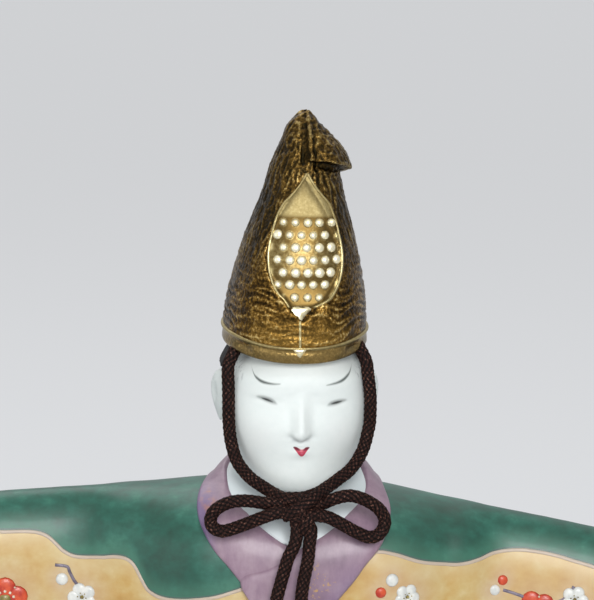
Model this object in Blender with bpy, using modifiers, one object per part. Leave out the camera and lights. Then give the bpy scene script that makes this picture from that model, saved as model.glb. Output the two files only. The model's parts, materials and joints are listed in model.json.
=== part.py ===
"""A standing hina doll: an emperor figure with spread sleeves, a folded gilt cap and a braided chin cord.

Metres, +Z up. The doll faces -Y, +X is the viewer's right, and the origin is the centre of its base.
The robe and the hakama are two castings that plug together. The head is a casting of its own on a wooden
peg, which sits in a cork sleeve in the figure's neck socket. The cap is tied to the head by the cord.
"""

import math

import bmesh
import bpy
from mathutils import Euler, Vector

# Clearances and overruns
SEAT_GAP = 0.0003
CUT_OVERRUN = 0.002
MERGE_DISTANCE = 0.00001
SHARP_ANGLE = math.radians(38)

# Heights of the figure
FELT_THICKNESS = 0.0015
WAIST_HEIGHT = 0.074
SHOULDER_HEIGHT = 0.1372

# Hakama, the pleated lower casting
HEM_HALF_WIDTH = 0.040
HEM_HALF_DEPTH = 0.024
WAIST_HALF_WIDTH = 0.0265
WAIST_HALF_DEPTH = 0.0155
PLEAT_DEPTH = 0.0016
PLEAT_COUNT = 14
FRONT_SPLIT_DEPTH = 0.003
FOOT_RECESS_DEPTH = 0.003
FOOT_RIM = 0.006
FELT_MARGIN = 0.0025
FLARE_BEND = 1.5
PLEAT_OPENING = 1.6
HAKAMA_POWER = 2.5
SPLIT_HALF_WIDTH = 0.002
SIDE_PLEAT_FADE = 0.0029

# Spigot that joins the two castings
SPIGOT_HALF_WIDTH = 0.013
SPIGOT_HALF_DEPTH = 0.008
SPIGOT_LENGTH = 0.010
SPIGOT_POWER = 3

# Belt of the hakama
BELT_HEIGHT = 0.0072
BELT_THICKNESS = 0.0013
BELT_TOP_DROP = 0.0008
BELT_KNOT_WIDTH = 0.015
BELT_KNOT_HEIGHT = 0.0095
BELT_KNOT_DEPTH = 0.0022
BELT_KNOT_STRAP = 0.0042
BELT_KNOT_ROUNDING = 0.00066
BELT_KNOT_PROUD = 0.0003

# Robe, the upper casting
SLEEVE_SPAN_HALF = 0.092
SLEEVE_DROP = 0.061
SLEEVE_HALF_DEPTH = 0.008
SLEEVE_SWEEP = 0.007
SLEEVE_MOUTH_DEPTH = 0.004
SLEEVE_WALL = 0.0022
SHOULDER_FLAT = 0.010
LEFT_SHOULDER_FALL = 0.0069
RIGHT_SHOULDER_FALL = 0.0149
ARMHOLE_RISE = 0.017
CHEST_HALF_WIDTH = 0.0275
CHEST_HALF_DEPTH = 0.0175

# Neck joint
PEG_RADIUS = 0.0023
PEG_IN_HEAD = 0.010
PEG_BELOW_NECK = 0.020
PEG_CHAMFER = 0.0007
CORK_WALL = 0.0018
CORK_FLANGE = 0.0022
CORK_FLANGE_THICKNESS = 0.0012
NECK_RADIUS = 0.0068
NECK_WELL_DEPTH = 0.0065

# Collars
COLLAR_HALF_WIDTH = 0.0172
COLLAR_HALF_DEPTH = 0.0156
COLLAR_STAND = 0.0044
COLLAR_FALL = 0.0344
COLLAR_THICKNESS = 0.0012
COLLAR_CROWN = 0.0007
COLLAR_SEAM = 0.0004
COLLAR_SEAT = 0.0008
LYING_START = 0.00525
LYING_END = 0.01085
WHITE_COLLAR_WIDTH = 0.0017
WHITE_LAPEL_WIDTH = 0.0038
LAPEL_START = 0.0055
LAPEL_END = 0.0117

# Head
HEAD_AXIS_X = -0.0003
HEAD_AXIS_Y = 0.0005
HEAD_HEIGHT = 0.036
HEAD_HALF_WIDTH = 0.0136
HEAD_HALF_DEPTH = 0.0145
CHIN_DROP = 0.0002
HEAD_PITCH = math.radians(3.5)
HEAD_TURN = math.radians(4)
NOSE_HEIGHT = 0.0024
NOSE_HALF_WIDTH = 0.0019
NOSE_BRIDGE = 0.0193
NOSE_TIP = 0.0117
NOSE_BASE = 0.0104
EAR_HEIGHT = 0.0102
EAR_DEPTH = 0.0060
EAR_THICKNESS = 0.0030
EAR_STAND = 0.0007
EAR_MIDDLE_HEIGHT = 0.0150
EAR_BACK = 0.0015
EAR_TURN = (math.radians(8), math.radians(6), math.radians(22))
EAR_HOLLOW = (0.0010, 0.00145, 0.0029)
EAR_HOLLOW_OUT = 0.00156
EAR_HOLLOW_BACK = 0.0007
EAR_HOLLOW_RISE = 0.0006
HAIR_THICKNESS = 0.0007
HAIR_GAP = 0.0006

# Eboshi, the tall cap
CAP_HEIGHT = 0.0434
CAP_BASE = 0.0244
CAP_HALF_WIDTH = 0.0131
CAP_HALF_DEPTH = 0.0152
CAP_WALL = 0.0008
CAP_HOLLOW_HEIGHT = 0.0330
BAND_HEIGHT = 0.0026
BAND_THICKNESS = 0.0007
FOLD_THICKNESS = 0.0025
ALMOND_HALF_WIDTH = 0.0068
ALMOND_LENGTH = 0.0245
ALMOND_FOOT = 0.0083
ALMOND_EDGE_DEPTH = 0.0005
ALMOND_MIDDLE_DEPTH = 0.0013

# Braided cord
CORD_DIAMETER = 0.0024
CORD_POINT_SPACING = 0.0030
CORD_FINE_STEPS = 40
KNOT_HALF_WIDTH = 0.0040
KNOT_RADIUS = 0.0021
KNOT_WRAP_WIDTH = 0.0020
KNOT_WRAP_HEIGHT = 0.0027
KNOT_WRAP_TILT = math.radians(14)
TAIL_KNOT_RADII = (0.0019, 0.0017, 0.0016)

RING_POINTS = 32
HEAD_RING_POINTS = 48
CAP_RING_POINTS = 44
FULL_TURN = 2 * math.pi

PARTS = "hina_doll"
GUIDES = "hina_doll_cutters"


# Scene and helpers

def clear_scene():
    """Remove every object, so the script starts from nothing."""
    for thing in list(bpy.data.objects):
        bpy.data.objects.remove(thing, do_unlink=True)
    for name in (PARTS, GUIDES):
        old = bpy.data.collections.get(name)
        if old:
            bpy.data.collections.remove(old)
        bpy.context.scene.collection.children.link(bpy.data.collections.new(name))


def finish(name, colour, roughness, metallic=0.0):
    """One Principled material with the piece's colour."""
    material = bpy.data.materials.new(name)
    material.use_nodes = True
    shader = material.node_tree.nodes["Principled BSDF"]
    shader.inputs["Base Color"].default_value = (*colour, 1.0)
    shader.inputs["Roughness"].default_value = roughness
    shader.inputs["Metallic"].default_value = metallic
    return material


def place(name, mesh, material=None, parent=None):
    """A named object from a mesh, in the parts, or in the cutters where it has no material."""
    thing = bpy.data.objects.new(name, mesh)
    bpy.data.collections[PARTS if material else GUIDES].objects.link(thing)
    thing.parent = parent
    if material:
        mesh.materials.append(material)
    else:
        thing.hide_render = True
        thing.display_type = "WIRE"
    return thing


def mesh_from(work, name):
    """Close a bmesh's work: merge doubles, turn the faces out and shade it smooth."""
    bmesh.ops.remove_doubles(work, verts=work.verts, dist=MERGE_DISTANCE)
    bmesh.ops.recalc_face_normals(work, faces=work.faces)
    mesh = bpy.data.meshes.new(name)
    work.to_mesh(mesh)
    work.free()
    mesh.shade_smooth()
    mesh.set_sharp_from_angle(angle=SHARP_ANGLE)
    return mesh


def loft(name, rings, close_start=True, close_end=True):
    """A skin through rings of points that all have the same count, with its ends filled."""
    work = bmesh.new()
    rows = [[work.verts.new(point) for point in ring] for ring in rings]
    count = len(rings[0])
    for low, high in zip(rows, rows[1:]):
        for i in range(count):
            work.faces.new((low[i], low[(i + 1) % count], high[(i + 1) % count], high[i]))
    if close_start:
        work.faces.new(rows[0])
    if close_end:
        work.faces.new(rows[-1])
    return mesh_from(work, name)


def sheet_mesh(name, rows):
    """An open surface through rows of points."""
    work = bmesh.new()
    grid = [[work.verts.new(point) for point in row] for row in rows]
    for low, high in zip(grid, grid[1:]):
        for i in range(len(low) - 1):
            work.faces.new((low[i], low[i + 1], high[i + 1], high[i]))
    return mesh_from(work, name)


def outline_point(angle, half_x, half_y, power):
    """A point of a rounded outline; a power of 2 is an ellipse, and more is squarer."""
    cos, sin = math.cos(angle), math.sin(angle)
    bend = 2 / power
    return (
        half_x * math.copysign(abs(cos) ** bend, cos),
        half_y * math.copysign(abs(sin) ** bend, sin),
    )


def flat_ring(half_x, half_y, z, power, centre=(0, 0), count=RING_POINTS):
    """A level ring of a rounded outline."""
    ring = []
    for i in range(count):
        x, y = outline_point(FULL_TURN * i / count, half_x, half_y, power)
        ring.append(Vector((centre[0] + x, centre[1] + y, z)))
    return ring


def smooth_step(low, high, value):
    """A soft step from 0 at low to 1 at high."""
    t = min(max((value - low) / (high - low), 0), 1)
    return t * t * (3 - 2 * t)


def spline(rows, count):
    """Rows of numbers, resampled along a smooth curve through them."""
    out = []
    last = len(rows) - 1
    for i in range(count):
        place_on = last * i / (count - 1)
        k = min(int(place_on), last - 1)
        t = place_on - k
        before, start, end, after = (rows[min(max(k + j, 0), last)] for j in (-1, 0, 1, 2))
        values = []
        for a, b, c, d in zip(before, start, end, after):
            slope_b, slope_c = (c - a) / 2, (d - b) / 2
            values.append(
                (2 * t**3 - 3 * t**2 + 1) * b
                + (t**3 - 2 * t**2 + t) * slope_b
                + (3 * t**2 - 2 * t**3) * c
                + (t**3 - t**2) * slope_c
            )
        out.append(tuple(values))
    return out


def combine(target, other, operation):
    """A Boolean with the exact solver, whose second shape is a cutter."""
    step = target.modifiers.new(f"{operation.lower()}_{other.name}", "BOOLEAN")
    step.operation = operation
    step.object = other
    step.solver = "EXACT"


def turned(name, profile, material=None, parent=None, steps=32):
    """A turned solid: a profile in X and Z, listed down its outer side, spun about Z."""
    mesh = bpy.data.meshes.new(name)
    points = [(x, 0, z) for x, z in profile]
    mesh.from_pydata(points, [(i, i + 1) for i in range(len(points) - 1)], [])
    thing = place(name, mesh, material, parent)
    spin = thing.modifiers.new("spin", "SCREW")
    spin.steps = steps
    spin.render_steps = steps
    spin.use_merge_vertices = True
    spin.merge_threshold = MERGE_DISTANCE
    return thing


def ball(name, radii, location, rotation=(0, 0, 0), segments=16, rings=10, material=None, parent=None):
    """An ellipsoid with its place and turn in its object."""
    work = bmesh.new()
    bmesh.ops.create_uvsphere(work, u_segments=segments, v_segments=rings, radius=1)
    bmesh.ops.scale(work, vec=radii, verts=work.verts)
    thing = place(name, mesh_from(work, name), material, parent)
    thing.location = location
    thing.rotation_euler = Euler(rotation)
    return thing


def rounded_box(name, size, location, bevel, material=None, parent=None):
    """A box with rounded edges."""
    work = bmesh.new()
    bmesh.ops.create_cube(work, size=1)
    bmesh.ops.scale(work, vec=size, verts=work.verts)
    thing = place(name, mesh_from(work, name), material, parent)
    thing.location = location
    edge = thing.modifiers.new("edge", "BEVEL")
    edge.width = bevel
    edge.segments = 2
    return thing


def tube(name, route, radius, material=None, parent=None):
    """A tube along a smooth curve through a route, with its points evenly spaced."""
    fine = [Vector(p) for p in spline(route, CORD_FINE_STEPS * len(route))]
    length = sum((b - a).length for a, b in zip(fine, fine[1:]))
    count = round(length / CORD_POINT_SPACING) + 1
    picked, travelled, due = [fine[0]], 0, 1
    for a, b in zip(fine, fine[1:]):
        step = (b - a).length
        while due < count - 1 and travelled + step >= length * due / (count - 1):
            picked.append(a.lerp(b, (length * due / (count - 1) - travelled) / step))
            due += 1
        travelled += step
    picked.append(fine[-1])
    curve = bpy.data.curves.new(name, "CURVE")
    curve.dimensions = "3D"
    curve.bevel_depth = radius
    curve.bevel_resolution = 2
    curve.use_fill_caps = True
    line = curve.splines.new("POLY")
    line.points.add(len(picked) - 1)
    for point, co in zip(line.points, picked):
        point.co = (*co, 1)
    thing = bpy.data.objects.new(name, curve)
    bpy.data.collections[PARTS if material else GUIDES].objects.link(thing)
    thing.parent = parent
    if material:
        curve.materials.append(material)
    else:
        thing.hide_render = True
        thing.display_type = "WIRE"
    return thing


# Surfaces that several pieces follow

def shoulder_fall(x):
    """How far the shoulder line has dropped at x."""
    reach = max(abs(x) - SHOULDER_FLAT, 0) / (SLEEVE_SPAN_HALF - SHOULDER_FLAT)
    return (LEFT_SHOULDER_FALL if x < 0 else RIGHT_SHOULDER_FALL) * reach


def robe_section(x):
    """The robe's section at x: its middle Y, middle Z, half depth, half height and squareness."""
    side = abs(x) / SLEEVE_SPAN_HALF
    chest_share = CHEST_HALF_WIDTH / SLEEVE_SPAN_HALF
    top = SHOULDER_HEIGHT - shoulder_fall(x)
    waist = WAIST_HEIGHT + SEAT_GAP
    armhole = waist + ARMHOLE_RISE
    cuff = top - SLEEVE_DROP
    rise = smooth_step(chest_share, chest_share + SIDE_SLIT_SHARE, side)
    drop = smooth_step(chest_share + DROP_START_SHARE, chest_share + DROP_END_SHARE, side)
    bottom = waist + (armhole - waist) * rise + (cuff - armhole) * drop
    into_sleeve = smooth_step(chest_share * THINNING_SHARE, chest_share + THINNED_SHARE, side)
    half_depth = CHEST_HALF_DEPTH + (SLEEVE_HALF_DEPTH - CHEST_HALF_DEPTH) * into_sleeve
    forward = max(side - chest_share, 0) / (1 - chest_share)
    middle_y = -SLEEVE_SWEEP * forward**SWEEP_BEND
    power = CHEST_POWER + (SLEEVE_POWER - CHEST_POWER) * into_sleeve
    return middle_y, (top + bottom) / 2, half_depth, (top - bottom) / 2, power


def robe_front(x, z, side=-1):
    """Y of the robe's front surface at x and z, or of its back surface where side is 1."""
    middle_y, middle_z, half_depth, half_height, power = robe_section(x)
    level = min(abs(z - middle_z) / half_height, 1)
    return middle_y + side * half_depth * math.sqrt(1 - level**power)


def hakama_ring(z, grow=0.0, pleats=True, count=PLEAT_COUNT * 6):
    """The hakama's level ring at a height, with its pleats deepest at the hem."""
    rise = z / WAIST_HEIGHT
    flare = (1 - rise) ** FLARE_BEND
    half_x = WAIST_HALF_WIDTH + (HEM_HALF_WIDTH - WAIST_HALF_WIDTH) * flare
    half_y = WAIST_HALF_DEPTH + (HEM_HALF_DEPTH - WAIST_HALF_DEPTH) * flare
    below_belt = (WAIST_HEIGHT - BELT_HEIGHT) / WAIST_HEIGHT
    open_share = smooth_step(0, 1, min(max((below_belt - rise) / below_belt, 0) * PLEAT_OPENING, 1))
    ring = []
    for i in range(count):
        angle = FULL_TURN * i / count
        x, y = outline_point(angle, half_x, half_y, HAKAMA_POWER)
        away = Vector((x, y, 0)).normalized()
        if pleats:
            wave = abs(math.sin(angle * PLEAT_COUNT / 2))
            inward = PLEAT_DEPTH * (1 - wave) * open_share
            split = math.exp(-((x / SPLIT_HALF_WIDTH) ** 2))
            inward += FRONT_SPLIT_DEPTH * split * open_share
            # The four outermost points of the hem keep the whole width and depth
            inward *= 1 - math.exp(-((y / SIDE_PLEAT_FADE) ** 2))
        else:
            inward = 0
        ring.append(Vector((x, y, z)) + away * (grow - inward))
    return ring


# Share tables, chosen by hand

# One row for each station of the robe from its middle to a sleeve's mouth, of the half span
ROBE_STATIONS_SHARE = (
    0, 0.06, 0.12, 0.18, 0.235, 0.28, 0.302, 0.318, 0.334, 0.355,
    0.372, 0.388, 0.404, 0.44, 0.52, 0.62, 0.72, 0.82, 0.92, 1,
)

# Where the robe's lower edge rises to the armhole and drops to the sleeve, and where the robe thins
# from the chest into the sleeve: of the half span, past the chest, and the start of the thinning of it
SIDE_SLIT_SHARE = 0.035
DROP_START_SHARE = 0.055
DROP_END_SHARE = 0.10
THINNING_SHARE = 0.55
THINNED_SHARE = 0.14
SWEEP_BEND = 1.4

# How square the robe's sections are at the chest and the sleeve, and how much more at the chest's hem
CHEST_POWER = 5
SLEEVE_POWER = 3.6
HEM_SQUARENESS = 7

# Heights of the hakama's rings, of the waist height
HAKAMA_LEVELS_SHARE = (0, 0.10, 0.25, 0.42, 0.58, 0.72, 0.82, 0.885, 1)

# Each row of the head: chin-side height, nape-side height, half width, front reach and back reach,
# of the head's height, half width, half depth and half depth. It starts at the foot of the neck.
HEAD_SECTIONS_SHARE = (
    (-0.110, -0.110, 0.500, 0.420, 0.520),
    (-0.050, -0.050, 0.500, 0.415, 0.525),
    (0.010, 0.045, 0.505, 0.400, 0.560),
    (0.034, 0.130, 0.540, 0.500, 0.545),
    (0.018, 0.170, 0.600, 0.700, 0.580),
    (0.024, 0.195, 0.655, 0.810, 0.630),
    (0.050, 0.215, 0.705, 0.875, 0.690),
    (0.100, 0.245, 0.775, 0.905, 0.760),
    (0.165, 0.285, 0.850, 0.900, 0.850),
    (0.230, 0.325, 0.910, 0.915, 0.905),
    (0.300, 0.370, 0.955, 0.930, 0.950),
    (0.365, 0.420, 0.985, 0.940, 0.980),
    (0.435, 0.475, 1.000, 0.935, 1.000),
    (0.500, 0.525, 0.995, 0.930, 1.000),
    (0.560, 0.575, 0.970, 0.945, 0.990),
    (0.615, 0.620, 0.905, 0.940, 0.955),
    (0.665, 0.665, 0.735, 0.850, 0.855),
    (0.750, 0.750, 0.700, 0.805, 0.815),
    (0.830, 0.830, 0.640, 0.720, 0.730),
    (0.910, 0.910, 0.510, 0.560, 0.560),
    (0.970, 0.970, 0.310, 0.330, 0.330),
    (1.000, 1.000, 0.060, 0.060, 0.060),
)

# Soft swellings of the face: across, height, spread across, spread in height, of the head's half
# width and height, and how far each stands out, of the nose's height
FACE_RELIEF_SHARE = (
    (0.00, 0.250, 0.17, 0.020, 0.16),
    (0.00, 0.208, 0.13, 0.018, 0.13),
    (0.00, 0.228, 0.20, 0.007, -0.12),
    (0.00, 0.090, 0.34, 0.045, 0.18),
    (0.46, 0.475, 0.20, 0.030, -0.16),
    (-0.46, 0.475, 0.20, 0.030, -0.16),
    (0.52, 0.330, 0.30, 0.075, 0.14),
    (-0.52, 0.330, 0.30, 0.075, 0.14),
    (0.40, 0.575, 0.30, 0.025, 0.08),
    (-0.40, 0.575, 0.30, 0.025, 0.08),
)

# How square the head's sections are, how its columns crowd toward the face, and the nose's run
HEAD_POWER = 2.25
HEAD_LEVELS = 31
FACE_CROWDING = 0.42
NOSE_RISE_BEND = 1.2
NOSE_BRIDGE_WIDTH_SHARE = 0.55

# Levels of the hair's edges on the head's sections: above the ears, at the nape and under the brim
TEMPLE_LEVEL_SHARE = 0.682
NAPE_LEVEL_SHARE = 0.325
HAIRLINE_LEVEL_SHARE = 0.742
HAIR_COLUMNS = 30
HAIR_ROWS = 7

# Angles from the face where the hair starts, and where its lower edge drops from temple to nape
HAIR_FRONT = math.radians(80)
HAIR_DROP_START = 112
HAIR_DROP_END = 136

# How square the cap's level outline is, and how far the almond's widest place sits below its middle
CAP_POWER = 2.1
ALMOND_LOW_SHARE = 0.14
ALMOND_POINT_BEND = 1.75
ALMOND_TIP_SHARE = 0.02
ALMOND_END_SHALLOWING = 0.6
ALMOND_ROWS = 17
ALMOND_COLUMNS = 7

# Degrees round from the front, to the viewer's right, where the folded layer starts and where it ends
FOLD_START = 8
FOLD_FULL = 16
FOLD_FADE = 150
FOLD_END = 185

# The cap's lower edge, the top of its band and its least wall there, of the cap's half sizes and wall
BRIM_SHARE = 0.965
BAND_TOP_WIDTH_SHARE = 0.990
BAND_TOP_DEPTH_SHARE = 0.985
RABBET_WALL_SHARE = 0.6
THICKENING_START_SHARE = 0.15
THICKENING_END_SHARE = 0.27

# The band's outer face from its top to its foot: height, half width and half depth, and how far the
# ridge at its top stands out
BAND_PROFILE_SHARE = (
    (1.00, 0.990, 0.985),
    (0.86, 0.995, 0.990),
    (0.70, 0.975, 0.972),
    (0.15, 0.965, 0.965),
    (0.00, 0.955, 0.955),
)
BAND_RIDGE_ROWS = 2

# Rings of the cap above its band: height, half width, half depth, lean to the right and how much of
# the fold they carry, of the cap's height, half width, half depth, half width and the fold
CAP_RINGS_SHARE = (
    (0.066, 0.990, 0.985, -0.040, 0.0),
    (0.100, 1.000, 1.000, -0.040, 0.0),
    (0.195, 0.980, 0.980, -0.035, 0.0),
    (0.265, 0.940, 0.945, -0.025, 0.0),
    (0.335, 0.890, 0.895, -0.015, 0.0),
    (0.400, 0.840, 0.845, -0.005, 0.0),
    (0.465, 0.780, 0.785, 0.000, 0.0),
    (0.530, 0.715, 0.720, 0.010, 0.0),
    (0.595, 0.640, 0.650, 0.020, 0.0),
    (0.655, 0.575, 0.590, 0.030, 0.0),
    (0.715, 0.520, 0.530, 0.035, 0.0),
    (0.752, 0.492, 0.500, 0.040, 0.35),
    (0.775, 0.480, 0.480, 0.045, 1.00),
    (0.800, 0.455, 0.450, 0.050, 0.96),
    (0.840, 0.405, 0.400, 0.055, 0.85),
    (0.885, 0.335, 0.330, 0.050, 0.62),
    (0.925, 0.265, 0.255, 0.025, 0.30),
    (0.955, 0.190, 0.180, 0.015, 0.12),
    (0.985, 0.100, 0.100, 0.030, 0.0),
    (1.000, 0.030, 0.035, 0.035, 0.0),
)

# The over collar's two edges from the back of the neck to the front, of the collar's half width, half
# depth and fall below its top
COLLAR_INNER_SHARE = (
    (0.010, 0.744, 0.000),
    (0.260, 0.700, 0.003),
    (0.500, 0.540, 0.009),
    (0.665, 0.270, 0.018),
    (0.722, -0.040, 0.041),
    (0.700, -0.320, 0.093),
    (0.605, -0.600, 0.169),
    (0.440, -0.830, 0.259),
    (0.200, -1.010, 0.340),
    (-0.090, -1.100, 0.401),
    (-0.350, -1.110, 0.510),
    (-0.590, -1.060, 0.618),
)
COLLAR_OUTER_SHARE = (
    (0.010, 1.020, 0.128),
    (0.350, 0.965, 0.134),
    (0.675, 0.750, 0.140),
    (0.885, 0.390, 0.140),
    (0.985, 0.000, 0.145),
    (1.005, -0.320, 0.190),
    (0.990, -0.560, 0.268),
    (0.895, -0.770, 0.390),
    (0.710, -0.935, 0.523),
    (0.478, -1.020, 0.663),
    (0.198, -1.090, 0.831),
    (-0.110, -1.100, 1.000),
)
# Where along its rows the right panel starts to lap over the left one, and how much of the rows the
# white panels under them keep
LAP_START_SHARE = 0.82
WHITE_RIGHT_ROWS_SHARE = 0.80
WHITE_LEFT_ROWS_SHARE = 0.70


# Figure

def build_hakama(material):
    """The lower casting: pleats, a split front and back, and a socket for the robe's spigot."""
    bottom = FELT_THICKNESS + SEAT_GAP
    top = WAIST_HEIGHT
    rings = [hakama_ring(bottom + (top - bottom) * share) for share in HAKAMA_LEVELS_SHARE]
    hakama = place("hakama", loft("hakama", rings), material)
    inner = [hakama_ring(bottom, -FOOT_RIM, False, RING_POINTS)]
    recess = [
        [Vector((p.x, p.y, bottom - CUT_OVERRUN)) for p in inner[0]],
        [Vector((p.x, p.y, bottom + FOOT_RECESS_DEPTH)) for p in inner[0]],
    ]
    combine(hakama, place("foot_recess_cutter", loft("foot_recess_cutter", recess)), "DIFFERENCE")
    socket_floor = top - SPIGOT_LENGTH - SEAT_GAP
    grow = SEAT_GAP
    socket = [
        flat_ring(SPIGOT_HALF_WIDTH + grow, SPIGOT_HALF_DEPTH + grow, z, SPIGOT_POWER)
        for z in (socket_floor, top + CUT_OVERRUN)
    ]
    combine(hakama, place("spigot_socket_cutter", loft("spigot_socket_cutter", socket)), "DIFFERENCE")
    return hakama


def build_base_felt(material):
    """The felt sheet under the foot rim, which is what the doll stands on."""
    outline = hakama_ring(FELT_THICKNESS + SEAT_GAP, -FELT_MARGIN, False, RING_POINTS)
    rings = [[Vector((p.x, p.y, z)) for p in outline] for z in (0, FELT_THICKNESS)]
    return place("base_felt", loft("base_felt", rings), material)


def build_robe(material):
    """The upper casting: chest and spread sleeves with open mouths, a neck well and a spigot below."""
    stations = [-share * SLEEVE_SPAN_HALF for share in reversed(ROBE_STATIONS_SHARE[1:])]
    stations += [share * SLEEVE_SPAN_HALF for share in ROBE_STATIONS_SHARE]
    rings = []
    for x in stations:
        middle_y, middle_z, half_depth, half_height, power = robe_section(x)
        ring = []
        for i in range(RING_POINTS):
            angle = FULL_TURN * (i + 0.5) / RING_POINTS
            cos, sin = math.cos(angle), math.sin(angle)
            y = middle_y + half_depth * cos
            chest_like = (power - SLEEVE_POWER) / (CHEST_POWER - SLEEVE_POWER)
            squareness = power if sin > 0 else power + HEM_SQUARENESS * chest_like
            z = middle_z + half_height * math.copysign(abs(sin) ** (2 / squareness), sin)
            ring.append(Vector((x, y, z)))
        rings.append(ring)
    robe = place("robe", loft("robe", rings), material)

    for side, name in ((-1, "left_mouth_cutter"), (1, "right_mouth_cutter")):
        mouth = []
        for x in (SLEEVE_SPAN_HALF - SLEEVE_MOUTH_DEPTH, SLEEVE_SPAN_HALF + CUT_OVERRUN):
            middle_y, middle_z, half_depth, half_height, power = robe_section(side * SLEEVE_SPAN_HALF)
            ring = flat_ring(half_depth - SLEEVE_WALL, half_height - SLEEVE_WALL, 0, power)
            mouth.append([Vector((side * x, middle_y + p.x, middle_z + p.y)) for p in ring])
        combine(robe, place(name, loft(name, mouth)), "DIFFERENCE")

    spigot_foot = WAIST_HEIGHT - SPIGOT_LENGTH
    inside = WAIST_HEIGHT + SPIGOT_LENGTH
    spigot = [flat_ring(SPIGOT_HALF_WIDTH, SPIGOT_HALF_DEPTH, z, SPIGOT_POWER) for z in (spigot_foot, inside)]
    combine(robe, place("robe_spigot", loft("robe_spigot", spigot)), "UNION")

    well_floor = SHOULDER_HEIGHT - NECK_WELL_DEPTH
    well_radius = NECK_RADIUS + CORK_FLANGE
    cork_radius = PEG_RADIUS + SEAT_GAP + CORK_WALL
    socket_radius = cork_radius + SEAT_GAP
    socket_floor = well_floor - PEG_BELOW_NECK - SEAT_GAP
    well = turned(
        "neck_well_cutter",
        (
            (0, SHOULDER_HEIGHT + CUT_OVERRUN),
            (well_radius, SHOULDER_HEIGHT + CUT_OVERRUN),
            (well_radius, well_floor),
            (socket_radius, well_floor),
            (socket_radius, socket_floor),
            (0, socket_floor),
        ),
    )
    well.location = (HEAD_AXIS_X, HEAD_AXIS_Y, 0)
    combine(robe, well, "DIFFERENCE")
    return robe


def build_belt(material):
    """The hakama's belt, a flat band round the waist, and its cross knot at the front."""
    top = WAIST_HEIGHT - BELT_TOP_DROP
    levels = (top - BELT_HEIGHT, top - BELT_HEIGHT / 2, top)
    rings = [hakama_ring(z, SEAT_GAP, False, RING_POINTS) for z in levels]
    belt = place("hakama_belt", loft("hakama_belt", rings, False, False), material)
    wall = belt.modifiers.new("wall", "SOLIDIFY")
    wall.thickness = BELT_THICKNESS
    wall.offset = 1
    wall.use_even_offset = True

    front = -(WAIST_HALF_DEPTH + SEAT_GAP + BELT_THICKNESS + SEAT_GAP + BELT_KNOT_DEPTH / 2)
    flare = hakama_ring(top - BELT_HEIGHT, 0, False, RING_POINTS)
    front -= max(abs(p.y) for p in flare) - WAIST_HALF_DEPTH
    middle = (0, front, top - BELT_HEIGHT / 2)
    knot = rounded_box(
        "belt_knot", (BELT_KNOT_WIDTH, BELT_KNOT_DEPTH, BELT_KNOT_STRAP), middle, BELT_KNOT_ROUNDING, material
    )
    upright_size = (BELT_KNOT_STRAP, BELT_KNOT_DEPTH + BELT_KNOT_PROUD, BELT_KNOT_HEIGHT)
    upright = rounded_box("belt_knot_upright", upright_size, middle, BELT_KNOT_ROUNDING)
    combine(knot, upright, "UNION")
    return belt, knot


# Collars

def collar_rows(side, count=20):
    """Inner and outer edge points of one collar panel, seated on the robe."""
    edges = []
    for table in (COLLAR_INNER_SHARE, COLLAR_OUTER_SHARE):
        row = []
        for x, y, fall in spline(table, count):
            point = Vector((
                side * x * COLLAR_HALF_WIDTH,
                y * COLLAR_HALF_DEPTH,
                SHOULDER_HEIGHT + COLLAR_STAND - fall * COLLAR_FALL,
            ))
            row.append(point)
        edges.append(row)
    return edges


def robe_top(x, y):
    """Z of the robe's upper surface at x and y."""
    middle_y, middle_z, half_depth, half_height, power = robe_section(x)
    across = min(abs(y - middle_y) / half_depth, 1)
    return middle_z + half_height * (1 - across**2) ** (1 / power)


def seat_on_robe(point):
    """Move a point just clear of the robe: its front rows lie on the chest, the others go the short way."""
    side = -1 if point.y < 0 else 1
    surface = robe_front(point.x, point.z, side) + side * COLLAR_SEAT
    if point.z < robe_top(point.x, 0):
        lying = smooth_step(LYING_START, LYING_END, -point.y)
        if lying > 0:
            point.y += (surface - point.y) * lying
    middle_y, middle_z, half_depth, half_height, power = robe_section(point.x)
    if abs(point.y - middle_y) < half_depth:
        lift = robe_top(point.x, point.y) + COLLAR_SEAT - point.z
        push = side * (surface - point.y)
        if lift > 0 and push > 0:
            if lift < push:
                point.z += lift
            else:
                point.y += side * push
    return point


def strip(name, inner, outer, material, across=5):
    """A padded band between two edges: a crowned open surface with a wall."""
    rows = []
    for a, b in zip(inner, outer):
        row = []
        for j in range(across):
            t = j / (across - 1)
            point = a.lerp(b, t)
            out = Vector((point.x, point.y, 0)).normalized()
            point = point + out * (COLLAR_CROWN * math.sin(math.pi * t))
            row.append(seat_on_robe(point))
        rows.append(row)
    band = place(name, sheet_mesh(name, rows), material)
    wall = band.modifiers.new("wall", "SOLIDIFY")
    wall.thickness = COLLAR_THICKNESS
    wall.offset = 1
    wall.use_even_offset = True
    # The open surface has to face away from the neck, so that its wall grows outwards
    middle = band.data.polygons[len(band.data.polygons) // 2]
    away = Vector((middle.center.x, middle.center.y, 0)).normalized() + Vector((0, 0, 1))
    if middle.normal.dot(away) < 0:
        band.data.flip_normals()
    return band


def clip_rows(inner, outer, line_point, line_out):
    """Cut a panel's rows off where they pass a slanted line in the front view, and end them on it."""
    sides_inner = [(p - line_point).dot(line_out) for p in inner]
    sides_outer = [(p - line_point).dot(line_out) for p in outer]
    last_inner = next(i for i, side in enumerate(sides_inner) if side >= 0)
    last_outer = next(i for i, side in enumerate(sides_outer) if side >= 0)
    kept_inner = inner[:last_inner]
    kept_outer = outer[:last_inner]
    for kept, edge, sides, last in (
        (kept_inner, inner, sides_inner, last_inner),
        (kept_outer, outer, sides_outer, last_outer),
    ):
        share = sides[last - 1] / (sides[last - 1] - sides[last])
        kept.append(edge[last - 1].lerp(edge[last], share))
    return kept_inner, kept_outer


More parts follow.
